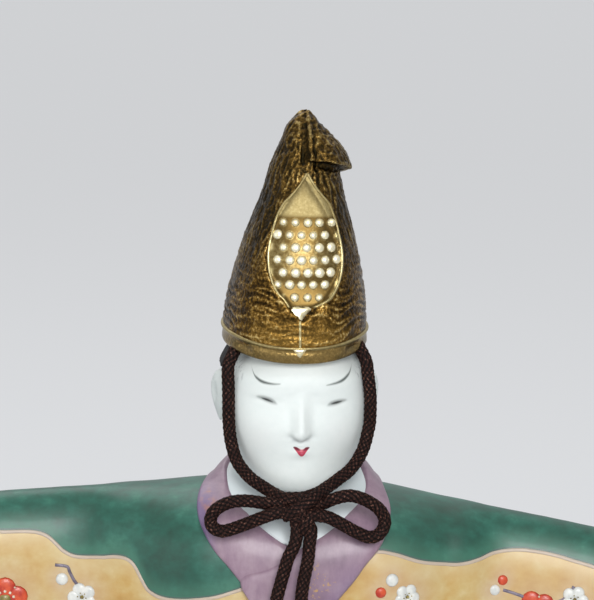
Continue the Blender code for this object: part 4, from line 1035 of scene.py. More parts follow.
eyes = pair(EYE_LEFT, EYE_RIGHT, 0.42)
pupils = pair(PUPIL_LEFT, PUPIL_RIGHT, 0.20)
brows = pair(BROW_LEFT, BROW_RIGHT, 0.24)
lips = stroke(skin, fx, fz, LIPS, 0.12) * front
corners = pair(CORNER_LEFT, CORNER_RIGHT, 0.10)
shine = fx.ridge(0.4, 0.45) * fz.ridge(8.25, 0.35) * front
strand_lines = skin.cloud(1.5, 2, 0.5, head_axes, (1.4, 1, 0.12)).step(0.52, 0.62)
temple = fx.size().step(9.6, 10.6) * fz.step(19.6, 21.2) * fy.step(-10.5, -8.5)
hairline = strand_lines * temple

under_cap = fy.step(0.5, 1.5) * fz.step(21.4, 22.0)

mottle = skin.cloud(900, 3)
white = skin.blend(mottle, paint(226, 233, 230), paint(234, 239, 236))
blush = fx.ridge(-7.5, 5).most(fx.ridge(7.6, 5)) * fz.ridge(11.0, 5.5) * front
white = skin.blend(blush * 0.05, white, paint(226, 190, 190))
face = skin.blend(brows * 0.92, white, paint(52, 64, 58))
face = skin.blend(hairline * 0.35, face, paint(120, 126, 128))
face = skin.blend(under_cap, face, paint(15, 15, 16))
face = skin.blend(eyes * 0.62, face, paint(66, 74, 70))
face = skin.blend(pupils * 0.92, face, paint(14, 16, 15))
face = skin.blend(lips, face, paint(192, 58, 82))
face = skin.blend(shine * 0.45, face, paint(222, 130, 150))
face = skin.blend(corners * 0.9, face, paint(98, 10, 36))
skin.bump(skin.cloud(2200, 2), 0.00003, 0.25)
bisque = skin.done(face, 0.62 - lips * 0.25 - mottle * 0.05)
dress(head, bisque, HEAD, "white_face", "head")

# %% [markdown]
# ## The hair
# The hair is painted and modelled close to the skull, with comb lines from the temples back to the nape.
# Points are moved in and out along those lines, and the same lines thin the sheen.

# %% Combed hair
def combed(point, normal):
    local = HEAD_INVERSE @ point
    angle = math.atan2(local.x, local.y)
    wave = math.sin(angle * 62 + local.z * 900 + 1.5 * noise.noise(local * 260))
    return point + normal * (0.00006 * wave - 0.00005)


def up_to_the_band(point, normal):
    """The hair's upper rim drawn up behind the cap's band."""
    local = HEAD_INVERSE @ point
    rise = min(1.0, max(0.0, (local.z - 0.0215) / 0.0026))
    return point + HEAD_PLACE.to_3x3() @ Vector((0, 0, 0.0020 * rise * rise))


hair = refined("hair", "combed_hair", 2, 0.00034, 4)
move_points(hair, up_to_the_band)
move_points(hair, combed)
strands = Recipe("black_hair_lacquer", roughness=0.4)
hair_axes = own_axes(strands, 1.0)
sx, sy, sz = strands.axes(hair_axes)
round_angle = strands.node("ShaderNodeMath", {"operation": "ARCTAN2"}, sx, sy)
wobble = strands.cloud(260, 2)
comb = strands.node("ShaderNodeMath", {"operation": "SINE"}, round_angle * 62 + sz * 900 + wobble * 3) * 0.5 + 0.5
fine = strands.node("ShaderNodeMath", {"operation": "SINE"}, round_angle * 210 + sz * 2600 + wobble * 8) * 0.5 + 0.5
strands.bump(comb * 0.6 + fine * 0.4, 0.00008, 0.6)
black = strands.blend(comb * 0.6 + fine * 0.3, paint(6, 6, 7), paint(24, 23, 25))
strands.shader.inputs["Specular IOR Level"].default_value = 0.25
dress(hair, strands.done(black, 0.68 - fine * 0.15), HEAD, "black_hair", "hair")

# %% [markdown]
# ## The gilded cap
# The tall court cap is cast with the crinkled skin of lacquered paper and gilded. A copy of the crown is
# laid out in small squares. Its peak is then folded over to the right: above a crooked lower edge the
# skin stands out as a second layer, and the layer's front edge is a ridge with a groove beside it.

# %% The crown and its folded peak
# The dent's outline in millimetres of the head's own axes: height, left edge, right edge
DENT_OUTLINE = [
    (35.2, -2.5, 1.9), (36.5, -3.4, 4.5), (37.3, -4.3, 5.3), (38.7, -5.2, 6.1), (40.35, -5.8, 6.7),
    (42.0, -6.1, 6.95), (43.8, -6.15, 7.0), (45.5, -5.95, 6.8), (47.3, -5.55, 6.4), (49.15, -5.1, 5.95),
    (50.95, -4.5, 5.3), (52.8, -3.5, 4.5), (54.1, -2.3, 3.4), (55.9, -0.8, 1.95), (58.1, 0.5, 0.6),
]
# How far the folded layer stands out, by height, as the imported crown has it
FOLD_OUT = 2.5
FOLD_BY_HEIGHT = [
    (55.4, 0.0), (57.0, 0.35), (58.0, 1.0), (59.1, 0.96), (60.9, 0.85), (62.8, 0.62), (64.5, 0.30), (65.8, 0.12),
    (67.1, 0.0),
]
# The layer's crooked lower edge: degrees round from the front, height
FOLD_EDGE = [(0, 60.4), (30, 60.0), (60, 59.1), (90, 57.5), (120, 57.2), (180, 57.2)]
FOLD_RIDGE_X = 0.9
BAND_FRONT_TOP, BAND_FRONT_FOOT = 28.1, 25.1
BAND_SIDE_RISE, FOOT_SIDE_RISE = 0.85, 0.65


def ramp(value, low, high):
    """A soft step from 0 to 1 between two values."""
    t = min(1.0, max(0.0, (value - low) / (high - low)))
    return t * t * (3 - 2 * t)


def by_table(table, value, column=1):
    """A value read between the rows of a table."""
    return float(np.interp(value, [row[0] for row in table], [row[column] for row in table]))


def dent_edge(x, z):
    """How far a point in millimetres lies outside the dent's edge across the cap; inside is below 0."""
    if not DENT_OUTLINE[0][0] < z < DENT_OUTLINE[-1][0]:
        return 10.0
    return max(by_table(DENT_OUTLINE, z, 1) - x, x - by_table(DENT_OUTLINE, z, 2))


def side_share(x, y):
    """0 at the cap's front and 1 at its sides and back, in which the band climbs."""
    return ramp(abs(math.degrees(math.atan2(x, -y))), 8, 62)


def folded(point, normal):
    """The folded layer, its ridge and groove, the dent's full foot, and a brim that ends in the band."""
    x, y, z = (HEAD_INVERSE @ point) * 1000
    side = math.degrees(math.atan2(x - 0.6, -y))
    outward = Vector((x - 0.6, y, 0)).normalized()
    moved = Vector((x, y, z))
    if z > 55.4:
        fade = 1 - ramp(side, 150, 185) if side > 0 else 0.0
        before = ramp(side, 8, 16) * fade * by_table(FOLD_BY_HEIGHT, z)
        edge = by_table(FOLD_EDGE, abs(side))
        share = max(by_table(FOLD_BY_HEIGHT, z), 0.9 if z < 61 else 0.0) * ramp(z, edge - 0.40, edge + 0.15)
        cover = (0.5 * ramp(x, FOLD_RIDGE_X - 0.3, FOLD_RIDGE_X + 0.2) + 0.5 * ramp(side, 12, 40)) * fade
        if y > 0:
            cover = fade
        moved += outward * FOLD_OUT * (0.88 * cover * share - before)
        if y < 0:
            high = ramp(z, 58.6, 60.0)
            moved -= outward * 0.55 * bell(x + 0.1, 0.75) * high
            moved += outward * 0.30 * bell(x - FOLD_RIDGE_X, 0.30) * high
            moved -= outward * 0.35 * bell(z - edge + 0.9, 0.5) * ramp(x, 1.2, 2.0)
        moved.z += 0.55 * ramp(z, 62, 68)
    elif y < 0 and z < 41 and outward.dot(HEAD_INVERSE.to_3x3() @ normal) > 0:
        moved -= outward * 0.32 * ramp(-dent_edge(x, z), 0.0, 0.5) * (1 - ramp(z, 38.5, 41))
    lowest = BAND_FRONT_FOOT + FOOT_SIDE_RISE * side_share(x, y) + 0.25
    moved.z = max(moved.z, lowest)
    return HEAD_PLACE @ (moved / 1000)


crown = refined("eboshi_crown", "gilded_crown", 2, 0.00027, 2, 0.5, 35)
move_points(crown, folded)

# %% [markdown]
# The skin is crinkled by moving its points with ridged noise: drawn out up and down near the peak, and
# round the cap in small waves near the brim. The dent stays smooth. What is hollow and what stands proud
# is then written on the mesh as an attribute, which the gilding uses for painted shade in the hollows and lighter gold
# on the crests.

# %% Crinkles
def ridged(x, y, z):
    """Noise with sharp crests, from about 0 to 1."""
    return max(0.0, 1 - abs(noise.noise(Vector((x, y, z)))) * 2.4)


def crinkled(point, normal):
    """Crinkles on the outer skin, and none on the dent or under the band."""
    x, y, z = (HEAD_INVERSE @ point) * 1000
    if (HEAD_INVERSE.to_3x3() @ normal).dot(Vector((x, y, 0))) < 0 and z < 57:
        return point
    top = BAND_FRONT_TOP + BAND_SIDE_RISE * side_share(x, y)
    quiet = ramp(z, top - 0.2, top + 0.8)
    if y < 0:
        quiet *= ramp(dent_edge(x, z), 0.1, 0.7)
    upright = ramp(z, 36, 48)
    drift = 0.9 * noise.noise(Vector((x * 0.22, y * 0.22, z * 0.12 + 7)))
    tall = ridged(x * 0.95 + drift, y * 0.95, z * 0.17)
    level = ridged(x * 0.15 + 9, y * 0.15, z * 0.85 + drift * 1.4)
    small = ridged(x * 1.4, y * 1.4, z * (0.5 + 0.6 * (1 - upright)) + 4)
    swell = noise.noise(Vector((x * 0.17, y * 0.17, z * 0.09 + 2)))
    lift = 0.24 * (tall * upright + level * (1 - upright)) + 0.07 * small + 0.14 * swell - 0.14
    return point + normal * (quiet * lift / 1000)


def mark_hollows(thing, blur=2):
    """Write how hollow each point is, as an attribute: above 0 in a groove and below 0 on a crest."""
    mesh = thing.data
    count = len(mesh.vertices)
    places = np.empty(count * 3)
    mesh.vertices.foreach_get("co", places)
    places = places.reshape(-1, 3)
    normals = np.array([v.normal for v in mesh.vertices])
    ends = np.empty(len(mesh.edges) * 2, dtype=np.int64)
    mesh.edges.foreach_get("vertices", ends)
    ends = ends.reshape(-1, 2)
    links = np.maximum(np.bincount(ends.ravel(), minlength=count), 1)

    def around(values):
        total = np.zeros_like(values)
        np.add.at(total, ends[:, 0], values[ends[:, 1]])
        np.add.at(total, ends[:, 1], values[ends[:, 0]])
        return total / (links if values.ndim == 1 else links[:, None])

    hollow = ((around(places) - places) * normals).sum(axis=1)
    for _ in range(blur):
        hollow = (hollow + around(hollow)) / 2
    spread = np.percentile(np.abs(hollow), 90) + 1e-12
    layer = mesh.attributes.new("hollow", "FLOAT", "POINT")
    layer.data.foreach_set("value", np.clip(hollow / spread, -1.5, 1.5))


def fill(thing, name, values):
    """A point attribute of a piece, from one number or a function of each point."""
    layer = thing.data.attributes.new(name, "FLOAT", "POINT")
    if callable(values):
        layer.data.foreach_set("value", [values(v.co) for v in thing.data.vertices])
    else:
        layer.data.foreach_set("value", [values] * len(thing.data.vertices))
    return thing


DOT_PITCH, DOT_RADIUS, DOT_HEIGHT = 2.12, 0.86, 0.50
DOT_TOP, DOT_ROWS, DOT_X = 49.5, 7, 0.7


def dot_places():
    """The centres of the dots in the dent, in staggered rows."""
    for row in range(DOT_ROWS):
        z = DOT_TOP - row * DOT_PITCH
        for step in range(-4, 5):
            x = DOT_X + (step + 0.5 * (row % 2)) * DOT_PITCH
            x += 0.22 * noise.noise(Vector((x, row * 1.7, 3)))
            if dent_edge(x, z) < -0.75:
                yield x, z


def between_dots(x, z):
    """1 in the hollows between the dots of the dent, and 0 on and above them."""
    if dent_edge(x, z) > 0 or z > DOT_TOP + 1.5:
        return 0.0
    nearest = min(math.hypot(x - a, z - b) for a, b in DOTS)
    return ramp(nearest, 0.55, 0.90) * (1 - ramp(nearest, 1.5, 2.1)) * ramp(DOT_TOP + 1.5 - z, 0, 1)


DOTS = list(dot_places())
move_points(crown, crinkled)
mark_hollows(crown)
local_places = [(HEAD_INVERSE @ v.co) * 1000 for v in crown.data.vertices]
inside = [1 - ramp(dent_edge(p.x, p.z), -0.2, 0.3) if p.y < 0 else 0.0 for p in local_places]
pits = [between_dots(p.x, p.z) if p.y < 0 else 0.0 for p in local_places]
crown.data.attributes.new("dent", "FLOAT", "POINT").data.foreach_set("value", inside)
crown.data.attributes.new("pit", "FLOAT", "POINT").data.foreach_set("value", pits)
print(len(DOTS), "dots to come,", triangles(crown), "triangles in the crown")

# %% [markdown]
# The brim carries a smooth band with a fine ridge along its top. Level rays from all round find the cap's
# skin at a few heights, and the band is a closed ring of those points pushed outwards.

# %% Smooth band at the brim
# From the ridge at 0 to the foot at 1, and how far out in millimetres
BAND_ROWS = [
    (-0.10, -0.35), (-0.07, 0.16), (-0.02, 0.40), (0.06, 0.42), (0.14, 0.18), (0.25, 0.10), (0.50, 0.16),
    (0.78, 0.24), (0.92, 0.20), (1.00, 0.00), (1.03, -0.45), (0.98, -1.00), (0.30, -1.05),
]
BAND_SIDES = 160
shell = tree_of(frame["nodes"]["eboshi_crown"])
lower = tree_of(frame["nodes"]["eboshi_band"])
CAP_AXIS_X = -0.5


def skin_radius(angle, z):
    """How far the cap's packed skin is from its axis, in millimetres, by a level ray from outside."""
    away = Vector((math.cos(angle), math.sin(angle), 0))
    start = HEAD_PLACE @ ((Vector((CAP_AXIS_X, 0, z)) + away * 40) / 1000)
    hits = [tree.ray_cast(start, HEAD_PLACE.to_3x3() @ -away) for tree in (shell, lower)]
    return 40 - min(hit[3] for hit in hits if hit[0] is not None) * 1000


verts, faces = [], []
for share, out in BAND_ROWS:
    ring = []
    for i in range(BAND_SIDES):
        angle = 2 * math.pi * i / BAND_SIDES
        side = side_share(math.cos(angle), math.sin(angle))
        high = BAND_FRONT_TOP + BAND_SIDE_RISE * side
        foot = BAND_FRONT_FOOT + FOOT_SIDE_RISE * side
        z = high + (foot - high) * share
        ring.append((angle, z, skin_radius(angle, min(max(z, 24.8), 28.9))))
    radii = [row[2] for row in ring]
    for _ in range(4):
        radii = [(radii[i - 1] + 2 * radii[i] + radii[(i + 1) % BAND_SIDES]) / 4 for i in range(BAND_SIDES)]
    for (angle, z, _), radius in zip(ring, radii):
        away = Vector((math.cos(angle), math.sin(angle), 0)) * (radius + out)
        verts.append(HEAD_PLACE @ ((Vector((CAP_AXIS_X, 0, z)) + away) / 1000))
for k in range(len(BAND_ROWS)):
    for i in range(BAND_SIDES):
        a, b = k * BAND_SIDES, (k + 1) % len(BAND_ROWS) * BAND_SIDES
        j = (i + 1) % BAND_SIDES
        faces.append((a + i, a + j, b + j, b + i))


def piece_of(name, verts, faces):
    """A new piece from points and faces, with its faces turned out."""
    mesh = bpy.data.meshes.new(name)
    mesh.from_pydata(verts, [], faces)
    work = bmesh.new()
    work.from_mesh(mesh)
    bmesh.ops.recalc_face_normals(work, faces=work.faces)
    work.to_mesh(mesh)
    work.free()
    mesh.shade_smooth()
    thing = bpy.data.objects.new(name, mesh)
    bpy.context.scene.collection.objects.link(thing)
    return thing


band = piece_of("gilded_brim_band", verts, faces)
apply(band, "SUBSURF", levels=1, render_levels=1)


def band_shine(point):
    """The band's ridge is painted pale as a painted highlight, and the rest of it is a browner gold."""
    x, y, z = (HEAD_INVERSE @ point) / MM
    share = (BAND_FRONT_TOP + BAND_SIDE_RISE * side_share(x, y) - z) / (BAND_FRONT_TOP - BAND_FRONT_FOOT)
    return 1.0 if share < 0.10 else 0.45


fill(band, "dent", band_shine)
print(f"band of {len(BAND_ROWS)} rows, {BAND_SIDES} points round")

# %% [markdown]
# The dent has a fine raised rim and staggered rows of dots. One dot is modelled and copied, each copy set
# down on the crown where a level ray from the front meets it. Below the dent a small three-cornered facet,
# a seam and another facet on the band mark the front of the cap.

# %% Dots, rim, facets and seam
PATTERNS = {}


def dome_pattern(segments, rings):
    """One ball of radius 1, made once for each fineness and kept out of the scene."""
    if (segments, rings) not in PATTERNS:
        deselect()
        bpy.ops.mesh.primitive_uv_sphere_add(segments=segments, ring_count=rings * 2, radius=1)
        ball = bpy.context.object
        ball.data.shade_smooth()
        PATTERNS[segments, rings] = ball.data
        bpy.data.objects.remove(ball)
    return PATTERNS[segments, rings]


def dome(name, place, normal, radius, height, segments=12, rings=3):
    """A low round dome that sits on a surface."""
    thing = bpy.data.objects.new(name, dome_pattern(segments, rings).copy())
    bpy.context.scene.collection.objects.link(thing)
    place_it = Matrix.LocRotScale(place, normal.to_track_quat("Z", "Y"), Vector((radius, radius, height)))
    thing.data.transform(place_it)
    return thing


def bead(name, line, normals, half_width, height, sides=8, closed=False):
    """A raised line along a surface: a flattened tube through points with their normals."""
    verts, faces = [], []
    count = len(line)
    for i in range(count):
        before, after = (i - 1, (i + 1) % count) if closed else (max(i - 1, 0), min(i + 1, count - 1))
        along = (line[after] - line[before]).normalized()
        side = along.cross(normals[i]).normalized()
        for j in range(sides):
            angle = 2 * math.pi * j / sides
            verts.append(
                line[i] + side * (half_width * math.cos(angle)) + normals[i] * (height * math.sin(angle))
            )
    for i in range(count if closed else count - 1):
        low, high = i * sides, (i + 1) % count * sides
        for j in range(sides):
            k = (j + 1) % sides
            faces.append((low + j, low + k, high + k, high + j))
    if not closed:
        faces.append(tuple(range(sides)))
        faces.append(tuple(range((count - 1) * sides, count * sides))[::-1])
    return piece_of(name, verts, faces)


crown_tree = tree_of(crown)
band_tree = tree_of(band)


def on_crown(x, z):
    """The place and normal on the cap's front that x and z in the head's axes point at."""
    start = HEAD_PLACE @ Vector((x, -0.05, z))
    hits = [tree.ray_cast(start, HEAD_PLACE.to_3x3() @ Vector((0, 1, 0))) for tree in (crown_tree, band_tree)]
    best = min((hit for hit in hits if hit[0] is not None), key=lambda hit: hit[3])
    return best[0], best[1]


def facet(name, corners, height, cuts=7):
    """A small three-cornered plate that lies on the cap, with its edges sunk in the skin."""
    a, b, c = (Vector((x, z)) for x, z in corners)
    verts, faces, index = [], [], {}
    for i in range(cuts + 1):
        for j in range(cuts + 1 - i):
            u, v = i / cuts, j / cuts
            spot = a * (1 - u - v) + b * u + c * v
            place, normal = on_crown(spot.x, spot.y)
            inside = 1.0 if min(u, v, 1 - u - v) > 1e-6 else -0.6
            index[i, j] = len(verts)
            verts.append(place + normal * height * inside)
    for i in range(cuts):
        for j in range(cuts - i):
            faces.append((index[i, j], index[i + 1, j], index[i, j + 1]))
            if j < cuts - i - 1:
                faces.append((index[i + 1, j], index[i + 1, j + 1], index[i, j + 1]))
    return piece_of(name, verts, faces)


trim = []
# Dent values above 1 on the dots, rim, facets and seam paint a highlight on them in the gilding
for x, z in DOTS:
    place, normal = on_crown(x * MM, z * MM)
    fullness = 1 + 0.3 * noise.noise(Vector((x * 1.3, z * 1.3, 5)))
    trim.append(fill(dome("dot", place, normal, DOT_RADIUS * fullness * MM, DOT_HEIGHT * MM), "dent", 1.4))
for column in (1, 2):
    path = smooth_line([(row[column] * MM, 0, row[0] * MM) for row in DENT_OUTLINE], 0.0003)
    spots = [on_crown(p.x, p.z) for p in path]
    edge = bead("rim", [s[0] for s in spots], [s[1] for s in spots], 0.00024, 0.00020)
    trim.append(fill(edge, "dent", 1.1))
trim.append(fill(facet("facet", ((-0.0026, 0.0354), (0.0021, 0.0354), (-0.0006, 0.0326)), 0.00040), "dent", 1.4))
trim.append(fill(facet("band_facet", ((-0.0021, 0.0282), (0.0010, 0.0282), (-0.0005, 0.0260)), 0.00036), "dent", 1.4))
spots = [on_crown(-0.0006 + 0.0001 * (0.0330 - z) / 0.005, z) for z in np.linspace(0.0330, 0.0282, 24)]
seam = bead("seam", [s[0] for s in spots], [s[1] for s in spots], 0.00024, 0.00026)
trim.append(fill(seam, "dent", 1.2))
crown_piece = joined("gilded_crown", [crown, *trim])

# %% [markdown]
# The gilding is leaf over dark lacquer. Its colour is painted darker than bare gold, standing in for dark
# reflections, nearly brown as painted shade in the hollows, with painted highlights on the crests and in fine glints,
# and paler and smoother in the dent as a painted reflection. The hollow attribute that was written from the shape
# drives the painted shade.

# %% Gilding, worn by its own relief
gilt = Recipe("antique_gilding", roughness=0.3, metallic=1.0)
hollow = gilt.node("ShaderNodeAttribute", {"attribute_name": "hollow", "_out": "Fac"})
dent = gilt.node("ShaderNodeAttribute", {"attribute_name": "dent", "_out": "Fac"})
pit = gilt.node("ShaderNodeAttribute", {"attribute_name": "pit", "_out": "Fac"})
broad = gilt.cloud(240, 3, 0.6, stretch=(1, 1, 0.5))
flakes = gilt.node("ShaderNodeTexVoronoi", {"feature": "F1"}, Vector=gilt.place, Scale=1700)
glint_specks = gilt.cloud(2100, 3, 0.65)
# Random tone, painted shade in the hollows and painted glints from the specks; the ramp itself is painted dark for dark
# reflections
tone_shade_and_glints = 0.42 - hollow * 0.18 + (broad - 0.5) * 1.0 + (glint_specks - 0.5) * 1.25
shaded_gold = gilt.node("ShaderNodeValToRGB", {"_stops": [
    (0.10, paint(28, 21, 10)), (0.38, paint(72, 52, 22)), (0.60, paint(126, 95, 43)), (0.92, paint(214, 188, 124)),
]}, tone_shade_and_glints)
pit_shade = pit * (0.6 + (glint_specks - 0.5) * 1.2)
gilt_x, gilt_y, gilt_z = gilt.axes(own_axes(gilt))
shaded_sides = gilt_x.size().step(3.0, 12.5)
# Painted shade: darker towards the top, more so at the sides; painted light: lighter gold at the lower front
shaded_gold = gilt.blend(gilt_z.step(33, 52) * (0.46 + shaded_sides * 0.22), shaded_gold, paint(35, 33, 20))
shaded_gold = gilt.blend(gilt_z.step(35, 28) * (1 - shaded_sides) * 0.35, shaded_gold, paint(176, 138, 68))
# The dent's paler gold is a painted reflection, brighter in its middle and on the dots, facets and seam as painted
# highlights, darker between the dots as painted shade
pale_gold = gilt.node("ShaderNodeValToRGB", {"_stops": [
    (0.05, paint(92, 74, 40)), (0.42, paint(154, 138, 94)), (0.70, paint(210, 196, 148)), (0.98, paint(244, 236, 206)),
]}, 0.44 + (glint_specks - 0.5) * 0.35 + dent.step(1.05, 1.4) * 0.40 + gilt_z.ridge(43.5, 7.5) * 0.22 - pit_shade * 0.85)
gold = gilt.blend(dent.step(0.1, 1.0), shaded_gold, pale_gold)
relief = (glint_specks * 0.7 + flakes * 0.35) * dent.step(0.1, 0.8, 1, 0.12)
gilt.bump(relief, 0.00024, 0.8)
satin = dent.step(0.2, 1.0, 0, 0.08) + gilt_z.step(49.0, 51.0) * dent.step(0.5, 1.0) * 0.22
gilding = gilt.done(gold, 0.24 + broad * 0.12 + hollow.step(0, 1, 0, 0.14) + satin)
dress(crown_piece, gilding, HEAD, "gilt", "eboshi_crown")
dress(band, gilding, HEAD, "gilt", "eboshi_band")

# %% [markdown]
# ## The robe
# The robe is one glazed casting: green over the shoulders, ochre below, and a pale raised border between
# them that wanders like the edge of a cloud. A copy of the robe is rounded and laid out again in small
# squares, so that the glaze runs over soft ceramic edges.

# %% Glazed robe
def eased_shoulder(point, normal):
    """The shoulders dip a little beside the neck."""
    side = abs(point.x) / MM
    dip = ramp(side, 10, 16) * (1 - ramp(side, 20, 62)) * ramp(point.z / MM, 126, 134)
    return point - Vector((0, 0, 0.0006 * dip))


robe = refined("robe", "glazed_robe", 2, 0.00078, 4)
move_points(robe, eased_shoulder)
robe_tree = tree_of(robe)

# The border's height in millimetres by x: at the front as photographed out to the frame, at the back guessed
FRONT_BORDER = [
    (-92, 118.0), (-80, 122.0), (-70, 126.0), (-62, 127.4), (-53.7, 127.2), (-47.7, 127.2), (-45.9, 126.8),
    (-43.7, 125.3), (-41.6, 123.5), (-39.4, 122.8), (-35.4, 123.0), (-31.2, 123.6), (-29.1, 122.6),
    (-27.6, 120.2), (-25.4, 117.8), (-23.2, 117.3), (-20.3, 117.4), (-17.4, 117.8), (-14.0, 118.4),
    (-10.9, 119.4), (-9.5, 119.9), (0, 123.0), (9, 126.0), (15.0, 127.1), (18.0, 126.6), (20.6, 125.7),
    (23.2, 124.8), (26.6, 124.1), (30.1, 123.7), (33.7, 124.1), (37.2, 125.1), (41.3, 125.5), (44.2, 125.3),
    (47.5, 124.8), (51.5, 123.8), (55.0, 122.9), (66, 118.8), (80, 120.5), (92, 114.0),
]
BACK_BORDER = [
    (-92, 118.0), (-78, 113.0), (-62, 119.5), (-48, 123.5), (-36, 118.0), (-22, 113.5), (-8, 118.0),
    (6, 121.5), (20, 117.5), (34, 112.5), (50, 118.5), (64, 123.0), (78, 117.5), (92, 114.0),
]
# Sprays of plum blossom in millimetres: x, z, size, kind. The first five are photographed, the rest guessed.
FRONT_FLOWERS = [
    (-52.6, 114.8, 8.4, "red"), (-38.6, 115.4, 5.4, "white"), (20.6, 118.9, 4.7, "white"),
    (-42.3, 118.7, 2.3, "white_bud"), (15.8, 119.9, 2.0, "red_bud"), (17.8, 122.1, 2.4, "white_bud"),
    (38.4, 120.1, 1.9, "red_bud"), (37.0, 118.3, 2.0, "white_bud"), (44.6, 114.6, 7.6, "red"),
    (51.6, 117.0, 5.0, "white"), (68.0, 108.6, 7.6, "red"), (61.8, 112.0, 4.8, "white"),
    (73.4, 111.4, 2.2, "white_bud"), (-68.4, 113.2, 5.2, "white"), (-74.0, 106.6, 7.4, "red"),
    (-79.4, 110.4, 2.2, "red_bud"), (-63.0, 103.0, 2.4, "white_bud"), (-30.6, 107.4, 7.4, "red"),
    (-24.0, 110.6, 4.8, "white"), (24.4, 104.0, 7.6, "red"), (30.6, 107.2, 4.6, "white"),
    (18.6, 107.6, 2.2, "red_bud"), (-20.4, 92.0, 4.8, "white"), (-26.0, 88.6, 7.0, "red"),
    (27.0, 84.0, 7.0, "red"), (21.2, 87.6, 4.6, "white"),
]
BACK_FLOWERS = [
    (-50.0, 112.0, 7.8, "red"), (-43.4, 115.2, 5.0, "white"), (-56.6, 115.0, 2.2, "white_bud"),
    (-14.0, 104.0, 7.8, "red"), (-7.2, 107.4, 5.0, "white"), (-20.4, 107.8, 2.2, "red_bud"),
    (16.0, 106.4, 5.2, "white"), (38.0, 104.0, 7.6, "red"), (44.6, 107.6, 4.8, "white"),
    (66.0, 111.4, 7.4, "red"), (59.6, 114.6, 4.6, "white"), (8.0, 88.0, 7.2, "red"), (1.6, 91.2, 4.6, "white"),
]
TWIGS = [
    [(-43.6, 121.3), (-41.4, 121.0), (-40.9, 120.0), (-40.1, 118.5), (-39.4, 117.6)],
    [(38.5, 118.3), (40.9, 117.6), (43.5, 116.6), (44.4, 115.8)], [(51.4, 119.4), (50.2, 117.4), (47.6, 116.0)],
    [(74.6, 113.2), (72.6, 111.0), (70.4, 109.4)], [(63.8, 113.6), (63.6, 111.4), (65.4, 109.8)],
    [(-80.6, 112.2), (-78.4, 109.6), (-76.2, 108.0)], [(-61.6, 101.6), (-64.6, 104.4), (-70.6, 105.8)],
    [(-22.4, 112.6), (-24.4, 109.6), (-27.6, 108.4)], [(17.4, 109.4), (19.6, 107.0), (21.8, 105.4)],
    [(32.2, 109.2), (30.0, 106.2), (27.2, 105.0)], [(-18.8, 94.0), (-21.0, 91.2), (-23.6, 89.8)],
    [(19.8, 89.4), (21.8, 86.8), (24.4, 85.4)],
]


def near_flowers(point):
    """1 in a spray of blossom and 0 well away from it."""
    flowers = FRONT_FLOWERS if point.y < 0 else BACK_FLOWERS
    x, z = point.x / MM, point.z / MM
    return max(bell(math.hypot(x - fx, z - fz), 1.5 + size * 0.55) for fx, fz, size, _ in flowers)


mark_hollows(robe)
fill(robe, "haze", near_flowers)

glaze = Recipe("green_and_ochre_glaze", roughness=0.4)
gx, gy, gz = (axis * 1000 for axis in glaze.axes())
front_height = graph(glaze, gx, FRONT_BORDER, 100, 140)
front_curve = [n for n in glaze.tree.nodes if n.type == "CURVE_FLOAT"][-1].mapping
back_height = graph(glaze, gx, BACK_BORDER, 100, 140)
back_curve = [n for n in glaze.tree.nodes if n.type == "CURVE_FLOAT"][-1].mapping
at_back = gy.step(-2, 2)
edge = front_height + (back_height - front_height) * at_back
above = gz - edge
is_green = above.step(-0.15, 0.15)
groove = glaze.node("ShaderNodeAttribute", {"attribute_name": "hollow", "_out": "Fac"})
haze = glaze.node("ShaderNodeAttribute", {"attribute_name": "haze", "_out": "Fac"})
wash = glaze.cloud(110, 4, 0.6, stretch=(1, 1, 0.8))
brush = glaze.cloud(420, 3, 0.6, stretch=(0.7, 1, 1))
tone = 0.5 + (wash - 0.5) * 1.1 + (brush - 0.5) * 0.7
green = glaze.node("ShaderNodeValToRGB", {"_stops": [
    (0.20, paint(10, 60, 46)), (0.44, paint(18, 78, 63)), (0.60, paint(30, 93, 77)), (0.84, paint(60, 122, 102)),
]}, tone)
green = glaze.blend(above.step(0.6, 4.5, 0.45, 0), green, paint(74, 126, 104))
ochre = glaze.node("ShaderNodeValToRGB", {"_stops": [
    (0.18, paint(186, 144, 74)), (0.42, paint(196, 160, 94)), (0.62, paint(202, 176, 118)), (0.84, paint(212, 194, 146)),
]}, tone)
ochre = glaze.blend(above.step(-4.5, -0.4, 0, 0.45), ochre, paint(210, 190, 146))
ochre = glaze.blend(haze * (0.25 + wash * 0.5), ochre, paint(196, 172, 158))
body_colour = glaze.blend(is_green, ochre, green)
body_colour = glaze.blend(above.ridge(0.48, 0.24) * 0.7, body_colour, paint(84, 92, 92))
# Painted shade: a darker brown in the robe's deep hollows
body_colour = glaze.blend(groove.step(1.0, 1.5) * 0.3, body_colour, paint(96, 88, 58))
glaze.shader.inputs["Coat Weight"].default_value = 0.12
glaze.shader.inputs["Coat Roughness"].default_value = 0.16
glaze.bump(wash * 0.6 + brush * 0.4, 0.0003, 0.25)
robe_glaze = glaze.done(body_colour, 0.40 + brush * 0.16)
dress(robe, robe_glaze, FIGURE, "green_glaze", "robe")

# %% [markdown]
# The border is a bead of pale slip that stands a little proud of both glazes. It follows the same curve
# that parts the two colours, set down on the robe by level rays.

# %% The slip border
def border_height(curve, points, x):
    """The height at x, in millimetres, of the curve that parts the colours."""
    first, last = points[0][0], points[-1][0]
    return 100 + 40 * curve.evaluate(curve.curves[0], (x - first) / (last - first))


def on_robe(x, z, side=-1):
    """The robe's place and normal at x and z in millimetres, seen level from the front or the back."""
    return facing_point(robe_tree, x * MM, z * MM, side)


